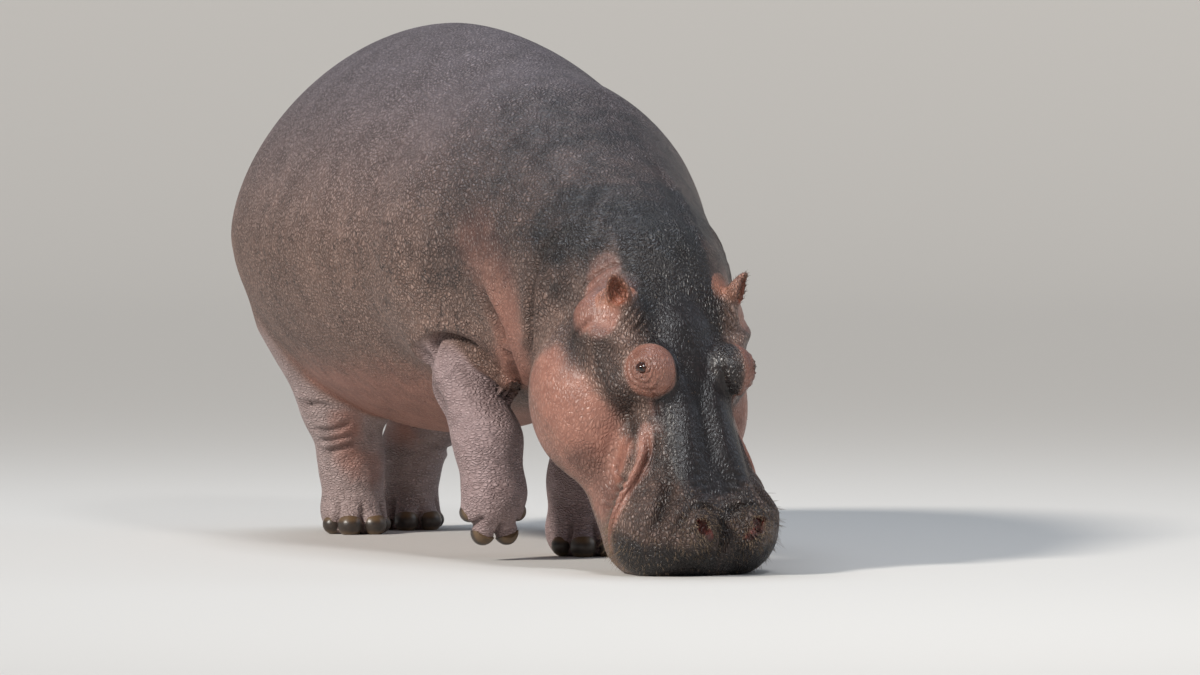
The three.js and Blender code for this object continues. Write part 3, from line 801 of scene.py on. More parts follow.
class Nodes:
    """Lays out a node tree: each call adds a node and joins what it is given."""

    def __init__(self, tree):
        self.tree = tree
        self.count = 0

    def add(self, kind, inputs=(), **settings):
        node = self.tree.nodes.new(kind)
        node.location = (180 * (self.count // 6), -220 * (self.count % 6))
        self.count += 1
        for name, value in settings.items():
            setattr(node, name, value)
        for key, value in dict(inputs).items():
            self.join(value, node.inputs[key])
        return node

    def join(self, value, socket):
        if isinstance(value, bpy.types.NodeSocket):
            self.tree.links.new(value, socket)
        elif value is not None:
            socket.default_value = value

    def math(self, operation, a, b=None, c=None):
        node = self.add("ShaderNodeMath", operation=operation)
        for socket, value in zip(node.inputs, (a, b, c)):
            self.join(value, socket)
        return node.outputs[0]

    def times(self, first, *others):
        for other in others:
            first = self.math("MULTIPLY", first, other)
        return first

    def rest(self, value):
        """What is left of one beside this value."""
        return self.math("SUBTRACT", 1.0, value)

    def line(self, value, slope, start):
        return self.math("MULTIPLY_ADD", value, slope, start)

    def mix(self, share, a, b, blend_type="MIX"):
        node = self.add("ShaderNodeMix", data_type="RGBA", blend_type=blend_type)
        self.join(share, node.inputs[0])
        self.join(a, node.inputs[6])
        self.join(b, node.inputs[7])
        return node.outputs[2]

    def steps(self, value, low, high, to_low=0.0, to_high=1.0):
        node = self.add("ShaderNodeMapRange", interpolation_type="SMOOTHSTEP")
        for socket, number in zip(node.inputs, (value, low, high, to_low, to_high)):
            self.join(number, socket)
        return node.outputs[0]

    def noise(self, place, scale, detail=4.0, rough=0.55, distortion=0.0):
        inputs = {"Vector": place, "Scale": scale, "Detail": detail}
        inputs |= {"Roughness": rough, "Distortion": distortion}
        return self.add("ShaderNodeTexNoise", inputs).outputs["Fac"]

    def mask(self, name):
        return self.add("ShaderNodeAttribute", attribute_name=name).outputs["Fac"]

    def stretched(self, place, scale):
        return self.add("ShaderNodeMapping", {"Vector": place, "Scale": scale}).outputs[0]

    def parts(self, place):
        return self.add("ShaderNodeSeparateXYZ", {0: place}).outputs

    def group(self, name, build, place):
        """A node of a group that is built the first time a material asks for it."""
        tree = bpy.data.node_groups.get(name) or build(name)
        return self.add("ShaderNodeGroup", {"Place": place}, node_tree=tree)

    def bump(self, height, strength, distance, normal=None):
        inputs = {"Height": height, "Strength": strength, "Distance": distance, "Normal": normal}
        return self.add("ShaderNodeBump", inputs).outputs[0]

    def surface(self, inputs):
        shader = self.add("ShaderNodeBsdfPrincipled", inputs)
        self.join(shader.outputs[0], self.add("ShaderNodeOutputMaterial").inputs["Surface"])


def new_material(name):
    """A material without nodes, and the hand that lays them."""
    material = bpy.data.materials.new(name)
    material.use_nodes = True
    material.node_tree.nodes.clear()
    return material, Nodes(material.node_tree)


def new_group(name, inputs, outputs):
    """A node group with named sockets: the group, its nodes, its input sockets, its output node."""
    group = bpy.data.node_groups.new(name, "ShaderNodeTree")
    for socket, kind, value in inputs:
        made = group.interface.new_socket(socket, in_out="INPUT", socket_type=kind)
        if value is not None:
            made.default_value = value
    for socket, kind in outputs:
        group.interface.new_socket(socket, in_out="OUTPUT", socket_type=kind)
    nodes = Nodes(group)
    return group, nodes, nodes.add("NodeGroupInput").outputs, nodes.add("NodeGroupOutput")


def hide_group(name):
    """Cracked hide: pebbles parted by fine creases, gathered into larger plates."""
    group, n, ins, out = new_group(
        name,
        [
            ("Place", "NodeSocketVector", None),
            ("Pebble Scale", "NodeSocketFloat", 80.0),
            ("Plate Scale", "NodeSocketFloat", 26.0),
            ("Plate Depth", "NodeSocketFloat", 0.3),
            ("Warp", "NodeSocketFloat", 0.02),
        ],
        [("Height", "NodeSocketFloat"), ("Cracks", "NodeSocketFloat"), ("Tops", "NodeSocketFloat")],
    )

    def vector(operation, inputs):
        return n.add("ShaderNodeVectorMath", inputs, operation=operation).outputs[0]

    drift = n.add("ShaderNodeTexNoise", {"Vector": ins["Place"], "Scale": 18.0, "Detail": 4.0})
    centred = vector("SUBTRACT", {0: drift.outputs["Color"], 1: (0.5, 0.5, 0.5)})
    place = vector("ADD", {0: ins["Place"], 1: vector("SCALE", {0: centred, "Scale": ins["Warp"]})})

    def edges(scale):
        inputs = {"Vector": place, "Scale": scale}
        return n.add("ShaderNodeTexVoronoi", inputs, feature="DISTANCE_TO_EDGE").outputs["Distance"]

    pebbles = n.steps(edges(ins["Pebble Scale"]), 0.0, 0.34)
    plates = n.steps(edges(ins["Plate Scale"]), 0.0, 0.11)
    grain = n.noise(place, 190.0, 3.0, 0.7)
    strength = n.steps(n.noise(ins["Place"], 9.0, 4.0), 0.3, 0.65, 0.75, 1.0)
    domed = n.times(pebbles, strength, 0.85)
    creased = n.times(plates, strength, ins["Plate Depth"])
    height = n.math("ADD", n.math("ADD", domed, creased), n.times(grain, 0.45))
    gaps = n.times(n.rest(pebbles), 0.95)
    breaks = n.times(ins["Plate Depth"], 2.0, n.rest(plates))
    n.join(height, out.inputs["Height"])
    # Cracks: the gaps between pebbles and the plates' edges, where the skin material paints shade and makes
    # the hide rougher.
    n.join(n.times(n.math("MAXIMUM", gaps, breaks), strength), out.inputs["Cracks"])
    # Tops: the pebbles' tops, where the skin material paints a highlight.
    n.join(n.times(pebbles, grain), out.inputs["Tops"])
    return group


def blotch_group(name):
    """Uneven colour: cloudy blotches, fine specks and short dark dashes."""
    group, n, ins, out = new_group(
        name,
        [("Place", "NodeSocketVector", None), ("Scale", "NodeSocketFloat", 17.0)],
        [("Clouds", "NodeSocketFloat"), ("Specks", "NodeSocketFloat"), ("Dashes", "NodeSocketFloat")],
    )
    clouds = n.noise(ins["Place"], ins["Scale"], 8.0, 0.78)
    specks = n.noise(ins["Place"], 130.0, 4.0, 0.65)
    drift = n.noise(ins["Place"], 24.0, 3.0, 0.55, 0.6)
    lines = n.steps(n.math("ABSOLUTE", n.math("SUBTRACT", drift, 0.5)), 0.010, 0.045, 1.0, 0.0)
    kept = n.steps(n.noise(ins["Place"], 38.0, 2.0), 0.5, 0.6)
    n.join(n.steps(clouds, 0.2, 0.8), out.inputs["Clouds"])
    n.join(n.steps(specks, 0.52, 0.72), out.inputs["Specks"])
    n.join(n.times(lines, kept), out.inputs["Dashes"])
    return group


def ragged(n, place, mask, soft):
    """A painted mask with an uneven edge."""
    uneven = n.line(n.noise(place, 14.0, 6.0, 0.62), 0.7, -0.35)
    return n.steps(n.math("ADD", mask, uneven), 0.5 - soft, 0.5 + soft)


def tone(n, share, s, name):
    """Between the darker and the lighter of a pair of colour settings."""
    return n.mix(share, linear(getattr(s, name)), linear(getattr(s, f"{name}_light")))


# The pattern of each region's hide: stretch, pebbles and plates to a metre, plate depth and warp.
HIDES = {
    "face": ((1.0, 1.0, 0.55), 112.0, 40.0, 0.16, 0.03),
    "body": ((1.0, 1.0, 0.80), 98.0, 30.0, 0.24, 0.04),
    "legs": ((0.62, 0.62, 1.25), 112.0, 34.0, 0.14, 0.03),
}


def skin_material(s):
    """Hide that is grey-brown on the back, pink below and on the cheeks, and wet and dark on the face."""
    material, n = new_material("hippopotamus hide")
    place = n.add("ShaderNodeTexCoord").outputs["Object"]
    blotches = n.group("blotches", blotch_group, place).outputs
    clouds, specks = blotches["Clouds"], blotches["Specks"]
    head, legs = n.mask("head"), n.mask("legs")
    _, behind, height_up = n.parts(place)

    flank, back = tone(n, clouds, s, "flank"), tone(n, clouds, s, "back")
    colour = n.mix(n.steps(height_up, 0.75, 1.42), flank, back)
    colour = n.mix(legs, colour, tone(n, clouds, s, "legs"))
    # Painted light: the hind legs are lightened towards the pale dust colour, as if more light fell on
    # them.
    rear = n.times(n.steps(behind, 0.5, 0.9), legs)
    colour = n.mix(n.times(rear, 0.35), colour, linear(s.dust_and_painted_light))
    trunk_only = n.times(n.rest(head), n.rest(legs))
    patchy = n.steps(n.noise(place, 3.2, 3.0), 0.4, 0.58, 0.25, 1.0)
    low = n.steps(height_up, 1.25, 0.8, 0.1, 1.0)
    dashes = n.times(low, patchy, blotches["Dashes"], trunk_only)
    colour = n.mix(n.times(dashes, 0.75), colour, linear(s.crack), "MULTIPLY")
    under = n.times(n.steps(height_up, 0.72, 0.42), trunk_only)
    colour = n.mix(under, colour, linear(s.under), "MULTIPLY")
    pink = ragged(n, place, n.mask("pink"), 0.42)
    colour = n.mix(n.times(pink, 0.9), colour, tone(n, clouds, s, "pink"))
    dark = ragged(n, place, n.mask("dark"), 0.40)
    colour = n.mix(n.times(dark, 0.95), colour, tone(n, clouds, s, "dark"))
    colour = n.mix(n.times(n.mask("ear"), 0.8), colour, linear(s.ear))
    colour = n.mix(n.mask("inner_ear"), colour, linear(s.inner_ear))
    colour = n.mix(n.mask("red"), colour, linear(s.nostril))

    def hide(region):
        stretch, *numbers = HIDES[region]
        node = n.group("cracked hide", hide_group, n.stretched(place, stretch))
        for name, number in zip(("Pebble Scale", "Plate Scale", "Plate Depth", "Warp"), numbers):
            n.join(number, node.inputs[name])
        return node.outputs

    on_face, on_trunk, on_legs = hide("face"), hide("body"), hide("legs")

    def by_region(socket):
        body = n.add("ShaderNodeMix", {0: legs, 2: on_trunk[socket], 3: on_legs[socket]})
        return n.add("ShaderNodeMix", {0: head, 2: body.outputs[0], 3: on_face[socket]}).outputs[0]

    height, cracks, tops = by_region("Height"), by_region("Cracks"), by_region("Tops")
    # Painted shade: the hide's cracks darken its colour, less on pink skin and on the legs.
    crack_shade = n.times(n.line(pink, -0.55, 0.85), n.line(legs, -0.55, 1.0), cracks)
    colour = n.mix(crack_shade, colour, linear(s.crack), "MULTIPLY")
    # Painted highlight on the pebbles' tops, with pale specks of dust; not on dark or pink skin, and less
    # on the legs.
    dust_and_painted_light = n.line(tops, 0.28, n.times(specks, 0.14))
    bare = n.rest(n.math("MAXIMUM", dark, n.times(pink, 0.7)))
    dust_and_light_share = n.times(bare, dust_and_painted_light, n.line(legs, -0.7, 1.0))
    colour = n.mix(dust_and_light_share, colour, linear(s.dust_and_painted_light))
    # Painted shade in the folds' creases, the lids' rings and round the eyes.
    colour = n.mix(n.times(n.mask("crease"), 0.55), colour, linear(s.crack), "MULTIPLY")

    wet = n.times(n.mask("wet"), n.steps(clouds, 0.0, 1.0, 0.7, 1.0))
    rough = n.line(wet, -0.27, 0.54)
    rough = n.line(cracks, 0.12, rough)
    rough = n.line(specks, 0.08, rough)
    calm = n.math("MAXIMUM", n.times(pink, 0.65), n.math("MAXIMUM", n.mask("red"), n.mask("calm")))
    height = n.line(dashes, -0.6, n.times(height, n.rest(calm)))
    pebbled = n.bump(height, 1.0, 0.0046)
    wrinkles = n.noise(n.stretched(place, (1.0, 1.0, 0.6)), 26.0, 5.0, 0.6, 0.6)
    n.surface({"Base Color": colour, "Roughness": rough, "Normal": n.bump(wrinkles, 0.14, 0.014, pebbled)})
    return material


PUPIL = (0.02, 0.015, 0.015)


def eye_material(s):
    material, n = new_material("wet eye")
    place = n.add("ShaderNodeAttribute", attribute_name="iris").outputs["Vector"]
    across, up, _ = n.parts(place)

    def reach(width):
        squares = [n.math("POWER", value, 2.0) for value in (width, up)]
        return n.math("SQRT", n.math("ADD", *squares))

    streaks = n.noise(n.stretched(place, (3.0, 3.0, 1.0)), 4.0, 6.0, 0.7)
    pupil = n.steps(reach(n.times(across, 0.62)), 0.26, 0.32)
    colour = n.mix(pupil, linear(PUPIL), tone(n, streaks, s, "iris"))
    colour = n.mix(n.steps(reach(across), 0.72, 0.82), colour, linear(s.eye_rim))
    coat = {"Coat Weight": 0.5, "Coat Roughness": 0.03}
    n.surface({"Base Color": colour, "Roughness": 0.12, **coat})
    return material


def nail_material(s):
    material, n = new_material("horn nail")
    place = n.add("ShaderNodeTexCoord").outputs["Object"]
    blotches = n.group("blotches", blotch_group, place)
    n.join(40.0, blotches.inputs["Scale"])
    colour = tone(n, blotches.outputs["Clouds"], s, "nail")
    colour = n.mix(n.times(n.mask("edge"), 0.7), colour, linear(s.nail_edge))
    ridges = n.bump(n.noise(n.stretched(place, (1.0, 1.0, 0.12)), 300.0, 3.0), 0.3, 0.0012)
    rough = n.steps(blotches.outputs["Specks"], 0.0, 1.0, 0.34, 0.6)
    n.surface({"Base Color": colour, "Roughness": rough, "Normal": ridges})
    return material


# ---- Settings ----


def colour_setting(name, description, default):
    kind = {"subtype": "COLOR_GAMMA", "size": 3, "min": 0, "max": 1}
    return bpy.props.FloatVectorProperty(name=name, description=description, default=default, **kind)


def size_setting(name, description, default):
    kind = {"unit": "LENGTH", "min": 0}
    return bpy.props.FloatProperty(name=name, description=description, default=default, **kind)


def count_setting(name, description, default):
    return bpy.props.IntProperty(name=name, description=description, default=default, min=0)


class HIPPO_PG_skin(bpy.types.PropertyGroup):
    cell: size_setting("Cell", "Spacing of the skin's points on the face", 0.006)
    back: colour_setting("Back", "Darker tone of the back", (0.345, 0.31, 0.33))
    back_light: colour_setting("Back light", "Lighter tone of the back", (0.43, 0.39, 0.415))
    flank: colour_setting("Flank", "Darker tone of the flanks", (0.47, 0.365, 0.32))
    flank_light: colour_setting("Flank light", "Lighter tone of the flanks", (0.60, 0.48, 0.425))
    legs: colour_setting("Legs", "Darker tone of the legs", (0.56, 0.47, 0.465))
    legs_light: colour_setting("Legs light", "Lighter tone of the legs", (0.71, 0.62, 0.62))
    under: colour_setting("Under", "Tint towards the belly", (0.92, 0.84, 0.79))
    pink: colour_setting("Pink", "Deeper tone of the bare pink skin", (0.50, 0.32, 0.27))
    pink_light: colour_setting("Pink light", "Paler tone of the bare pink skin", (0.68, 0.47, 0.40))
    dark: colour_setting("Dark", "Darkest tone of the face", (0.045, 0.043, 0.06))
    dark_light: colour_setting("Dark light", "Lighter tone of the dark face", (0.11, 0.095, 0.105))
    ear: colour_setting("Ear", "Outside of the ears", (0.62, 0.41, 0.32))
    inner_ear: colour_setting("Inner ear", "Inside of the ears", (0.60, 0.34, 0.24))
    nostril: colour_setting("Nostril", "Inside of the nostrils", (0.44, 0.17, 0.13))
    # The colour of the painted shade in cracks, creases and lid rings, and of the dark dashes.
    crack: colour_setting("Cracks", "Colour in cracks and creases", (0.42, 0.35, 0.32))
    # Pale specks of dust, and also the colour of the painted highlight on pebble tops and the painted light
    # on the hind legs.
    dust_and_painted_light: colour_setting("Dust", "Pale specks of dried mud", (0.69, 0.63, 0.605))


class HIPPO_PG_eyes(bpy.types.PropertyGroup):
    cornea: size_setting("Cornea", "How far the clear front of the eye stands out", 0.0016)
    iris: colour_setting("Iris", "Darker streaks of the iris", (0.13, 0.06, 0.03))
    iris_light: colour_setting("Iris light", "Lighter streaks of the iris", (0.28, 0.14, 0.065))
    eye_rim: colour_setting("Rim", "The eye outside its iris", (0.20, 0.12, 0.10))


class HIPPO_PG_nails(bpy.types.PropertyGroup):
    fullness: bpy.props.FloatProperty(
        name="Fullness", description="Nail size over toe size", default=1.09, min=1
    )
    nail: colour_setting("Nail", "Darker tone of the nails", (0.15, 0.13, 0.12))
    nail_light: colour_setting("Nail light", "Lighter tone of the nails", (0.28, 0.24, 0.21))
    nail_edge: colour_setting("Edge", "Worn edge of the nails", (0.44, 0.35, 0.25))


class HIPPO_PG_bristles(bpy.types.PropertyGroup):
    muzzle: count_setting("Muzzle", "Bristles on the muzzle", 1700)
    lips: count_setting("Lips", "Long bristles beside the lips", 170)
    face: count_setting("Face", "Short hairs over the face", 700)
    ears: count_setting("Ears", "Hairs on each ear", 230)
    tail: count_setting("Tail", "Hairs at the tip of the tail", 420)
    width: size_setting("Width", "Thickness of a bristle at its root", 0.0012)
    pale: colour_setting("Pale", "Bristles of the muzzle", (0.52, 0.44, 0.36))
    brown: colour_setting("Brown", "Hairs of the ears and tail", (0.32, 0.23, 0.16))


class HIPPO_PG_stage(bpy.types.PropertyGroup):
    distance: size_setting("Camera distance", "From the camera to the middle of the animal", 22.5)
    camera_height: size_setting("Camera height", "Height of the camera over the floor", 1.13)
    azimuth: bpy.props.FloatProperty(
        name="Azimuth", description="The camera's turn", default=math.radians(-19), subtype="ANGLE"
    )
    lens: bpy.props.FloatProperty(name="Lens", description="Focal length", default=235.8, unit="CAMERA")
    floor: colour_setting("Floor", "Pale floor and backdrop", (0.80, 0.785, 0.765))


def shade_smooth(piece):
    only(piece)
    bpy.ops.object.shade_smooth()


def finish_piece(piece, material, nodes=()):
    shade_smooth(piece)
    piece.data.materials.clear()
    piece.data.materials.append(material)
    if nodes:
        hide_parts(*nodes)
    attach(piece, "root")


def new_ball(segments, rings, radius):
    """A new ball, and its points."""
    bpy.ops.object.select_all(action="DESELECT")
    bpy.ops.mesh.primitive_uv_sphere_add(segments=segments, ring_count=rings, radius=radius)
    ball = bpy.context.object
    return ball, np.array([v.co for v in ball.data.vertices])


def edit(piece, step):
    """Runs a step on a piece in edit mode."""
    only(piece)
    bpy.ops.object.mode_set(mode="EDIT")
    step()
    bpy.ops.object.mode_set(mode="OBJECT")


def edit_all(piece, step):
    """Runs a step in edit mode on the whole piece."""

    def steps():
        bpy.ops.mesh.select_all(action="SELECT")
        step()

    edit(piece, steps)


def face_out(piece):
    edit_all(piece, bpy.ops.mesh.normals_make_consistent)


def select_points(piece, chosen):
    """Selects these vertices and nothing else, for the next step in edit mode."""
    bpy.context.tool_settings.mesh_select_mode = (True, False, False)
    edit(piece, lambda: bpy.ops.mesh.select_all(action="DESELECT"))
    piece.data.vertices.foreach_set("select", chosen)


MERGE_DISTANCE = 1e-5


def flesh_mesh():
    """The flesh nodes' meshes as one new object, its loose triangles merged."""
    points, faces, start = [], [], 0
    for name in FLESH_NODES:
        mesh = NODES[name].data
        co = np.empty(len(mesh.vertices) * 3)
        mesh.vertices.foreach_get("co", co)
        points.append(co.reshape(-1, 3))
        faces += [[v + start for v in face.vertices] for face in mesh.polygons]
        start += len(mesh.vertices)
    mesh = bpy.data.meshes.new("skin")
    mesh.from_pydata(np.concatenate(points).tolist(), [], faces)
    piece = linked("skin", mesh)
    edit_all(piece, lambda: bpy.ops.mesh.remove_doubles(threshold=MERGE_DISTANCE))
    return piece


def mouth_curve(side):
    return curve_through(on_head(HEAD_FOLDS["mouth"][0], side))


# How far round its features the skin keeps its close mesh, and where the head's mesh begins.
ARM_MARGIN, ANKLE_MARGIN, EYE_MARGIN, EAR_MARGIN, NOSTRIL_MARGIN, MOUTH_MARGIN = 55, 18, 105, 120, 110, 85
HEAD_FROM = -120


def is_plain(p):
    """Points away from the face, the fold over the lifted leg and the folds of the ankles."""
    plain = ~on_front(in_head(p), HEAD_FROM)
    plain[nearest(p, curve_through(on_body(ARM_ARCH)), ARM_MARGIN)[0]] = False
    for path, *_ in hind_folds():
        plain[nearest(p, curve_through(path), ANKLE_MARGIN)[0]] = False
    return plain


def is_cheek(p):
    """Points on the head, well away from its eyes, ears, nostrils and mouth."""
    cheek = on_front(in_head(p), HEAD_FROM)
    for side in (-1, 1):
        busy = (length(in_eye(p, side)) < EYE_MARGIN) | (length(in_ear(p, side)) < EAR_MARGIN)
        busy |= length(in_nostril(p, side)) < NOSTRIL_MARGIN
        busy[nearest(p, mouth_curve(side), MOUTH_MARGIN)[0]] = True
        cheek &= ~busy
    return cheek


# Parts of the body away from its fine forms, and the share of their faces that is kept.
LEGS_BELOW, NECK_BEFORE = 420.0, -780.0
COARSE = (
    (lambda p: is_plain(p) & (p[:, 2] > LEGS_BELOW) & (p[:, 1] > NECK_BEFORE), 0.065),
    (lambda p: is_plain(p) & (p[:, 2] > LEGS_BELOW) & (p[:, 1] < NECK_BEFORE), 0.13),
    (lambda p: is_plain(p) & (p[:, 2] < LEGS_BELOW), 0.17),
    (is_cheek, 0.34),
)


# How far round the eyes and nostrils, and beside the mouth, the skin's mesh is halved once more.
FINE_REACH, FINE_BESIDE = 60, 40


def fine_places(p):
    """Points round the eyes, nostrils and mouth, where the skin needs the closest mesh."""
    fine = np.zeros(len(p), bool)
    for side in (-1, 1):
        fine |= length(in_eye(p, side)) < FINE_REACH
        fine |= length(in_nostril(p, side)) < FINE_REACH
        fine[nearest(p, mouth_curve(side), FINE_BESIDE)[0]] = True
    return fine


def shape_skin(piece, s):
    """One even skin, thinned where it is plain, drawn onto its form, then folded and marked."""
    remesh = piece.modifiers.new("Cells", "REMESH")
    remesh.mode = "VOXEL"
    remesh.voxel_size = s.cell
    apply_modifier(piece, remesh)
    for where, share in COARSE:
        select_points(piece, where(points_of(piece)))
        edit(piece, lambda: bpy.ops.mesh.decimate(ratio=share))
    select_points(piece, fine_places(points_of(piece)))
    edit(piece, lambda: bpy.ops.mesh.subdivide(number_cuts=1))

    p = points_of(piece)
    edges = edges_of(piece)
    for form, turns in ((body_form, 2), (skin_form, 3)):
        p = settle(relaxed(p, edges), form, turns)
    set_points(piece, p)
    p, crease = press_folds(p, normals_of(piece), all_folds())
    set_points(piece, p)
    p, rings = press_lids(p, normals_of(piece))
    p[:, 2] = np.maximum(p[:, 2], 0)  # nothing sinks into the floor
    set_points(piece, p)
    keep_masks(piece, masks_of(p, crease, rings))


class HIPPO_OT_skin(bpy.types.Operator):
    """Grows one skin over all the flesh, with its folds and markings."""

    bl_idname = "hippo.skin"
    bl_label = "Skin"

    def execute(self, context):
        s = context.scene.hippo_skin
        piece = flesh_mesh()
        shape_skin(piece, s)
        finish_piece(piece, skin_material(s), FLESH_NODES)
        return {"FINISHED"}


# Millimetres from the eye's axis to the rims of its clear front and of its iris.
CORNEA_REACH, IRIS_REACH = 12.0, 14.0
EYE_FINENESS = (64, 48)


class HIPPO_OT_eyes(bpy.types.Operator):
    """Adds the two eyes, each a ball with a clear front that stands out a little."""

    bl_idname = "hippo.eyes"
    bl_label = "Eyes"

    def execute(self, context):
        s = context.scene.hippo_eyes
        material = eye_material(s)
        for name, side in (("left", 1), ("right", -1)):
            piece, co = new_ball(*EYE_FINENESS, EYE_RADIUS * MM)
            piece.name = f"eyeball_{name}"
            co = co / MM
            away = np.hypot(co[:, 0], co[:, 1])
            co[:, 2] += (co[:, 2] > 0) * np.exp(-((away / CORNEA_REACH) ** 4)) * s.cornea / MM
            layer = piece.data.attributes.new("iris", "FLOAT_VECTOR", "POINT")
            layer.data.foreach_set("vector", (co / IRIS_REACH).ravel())
            set_points(piece, co @ eye_axes(side).T + on_head([EYE], side)[0])
            if side > 0:  # the left eye's axes mirror the right one's, which turns its faces inwards
                face_out(piece)
            finish_piece(piece, material, [f"eye_{name}"])
        return {"FINISHED"}


def bisected(piece, point, normal):
    """Cuts away what lies beyond a plane and closes the cut."""

    def cut():
        bpy.ops.mesh.bisect(plane_co=point, plane_no=normal, use_fill=True, clear_outer=True)

    edit_all(piece, cut)


# A nail beside its toe's tip: its size in toe radii, how far ahead it stands and how it leans back.
NAIL_SIZE, NAIL_AHEAD, NAIL_LEAN = (1.02, 1.10, 1.02), 2.0, 0.10
NAIL_FINENESS = (40, 28)
# The slanting cut at its root, so far over the toe's tip, and the cut inside the toe, in toe radii.
ROOT_HEIGHT, ROOT_CUT = 16, (0.42, 0.9)
BACK_DEPTH, BACK_SLOPE = 0.30, 0.12
# In metres: how far a standing foot's nails end over the floor, and the width of a worn edge.
FLOOR_GAP, EDGE_WIDTH = 0.0004, 0.0022


class HIPPO_OT_nails(bpy.types.Operator):
    """Adds the four nails of each foot over the fronts of its toes."""

    bl_idname = "hippo.nails"
    bl_label = "Nails"

    def execute(self, context):
        s = context.scene.hippo_nails
        material = nail_material(s)
        for limb in LIMBS:
            nails = [self.nail(limb, toe, s) for toe in TOES]
            bpy.ops.object.select_all(action="DESELECT")
            for nail in nails:
                nail.select_set(True)
            context.view_layer.objects.active = nails[0]
            bpy.ops.object.join()
            piece = nails[0]
            piece.name = f"nails_{limb}"
            finish_piece(piece, material, [f"{limb}_nail_{n + 1}" for n in range(len(TOES))])
        return {"FINISHED"}

    def nail(self, limb, toe, s):
        """One nail: a ball over the toe's tip, cut off at the root, in the toe and at the floor."""
        turn, reach, width = toe
        sole, yaw, pitch, size = FEET[limb]
        axes = turned(yaw, pitch)
        out, tip = ahead(turn), toe_tip(turn, reach)
        piece, co = new_ball(*NAIL_FINENESS, 1)
        toe_axes = np.column_stack([[-out[1], out[0], 0], out, [0, 0, 1]])
        shaped = co * [width * s.fullness * part for part in NAIL_SIZE]
        shaped[:, 1] += NAIL_AHEAD - NAIL_LEAN * np.maximum(shaped[:, 2], 0)
        local = shaped @ toe_axes.T + tip
        set_points(piece, (local * size) @ axes.T + np.array(sole, float))

        def place(q):
            return Vector((from_foot(q, limb) + ORIGIN_SHIFT) * MM)

        back, up = ROOT_CUT
        bisected(piece, place(tip + [0, 0, ROOT_HEIGHT]), Vector(axes @ ([0, 0, up] - out * back)))
        behind = place(tip + out * width * BACK_DEPTH)
        bisected(piece, behind, Vector(axes @ (-out + [0, 0, BACK_SLOPE])))
        if pitch == 0:
            bisected(piece, Vector((0, 0, FLOOR_GAP)), Vector((0, 0, -1)))
        bevel = piece.modifiers.new("Worn edge", "BEVEL")
        bevel.width = EDGE_WIDTH
        bevel.segments = 3
        bevel.limit_method = "ANGLE"
        bevel.angle_limit = math.radians(40)
        apply_modifier(piece, bevel)
        height = in_foot(points_of(piece), limb)[:, 2] - tip[2]
        root, foot = smooth_step(4, 17, height), smooth_step(-14, -28, height)
        keep_masks(piece, {"edge": np.maximum(root, foot)})
        return piece


# Rings of a bristle: how far along it each lies, and its width there. It ends in a point.
BRISTLE_RINGS = ((0.0, 1.0), (0.4, 0.8), (0.75, 0.5))
BRISTLE_SIDES = 3
# Millimetres: how deep a bristle starts, how far it strays from its point, and its least height.
ROOT_DEPTH, STRAY, LOWEST = 1.5, 2.4, 0.2
UNEVEN, SAG = 0.16, 0.18
# The size of one bristle's place on the unwrapped skin.
PATCH = 0.003


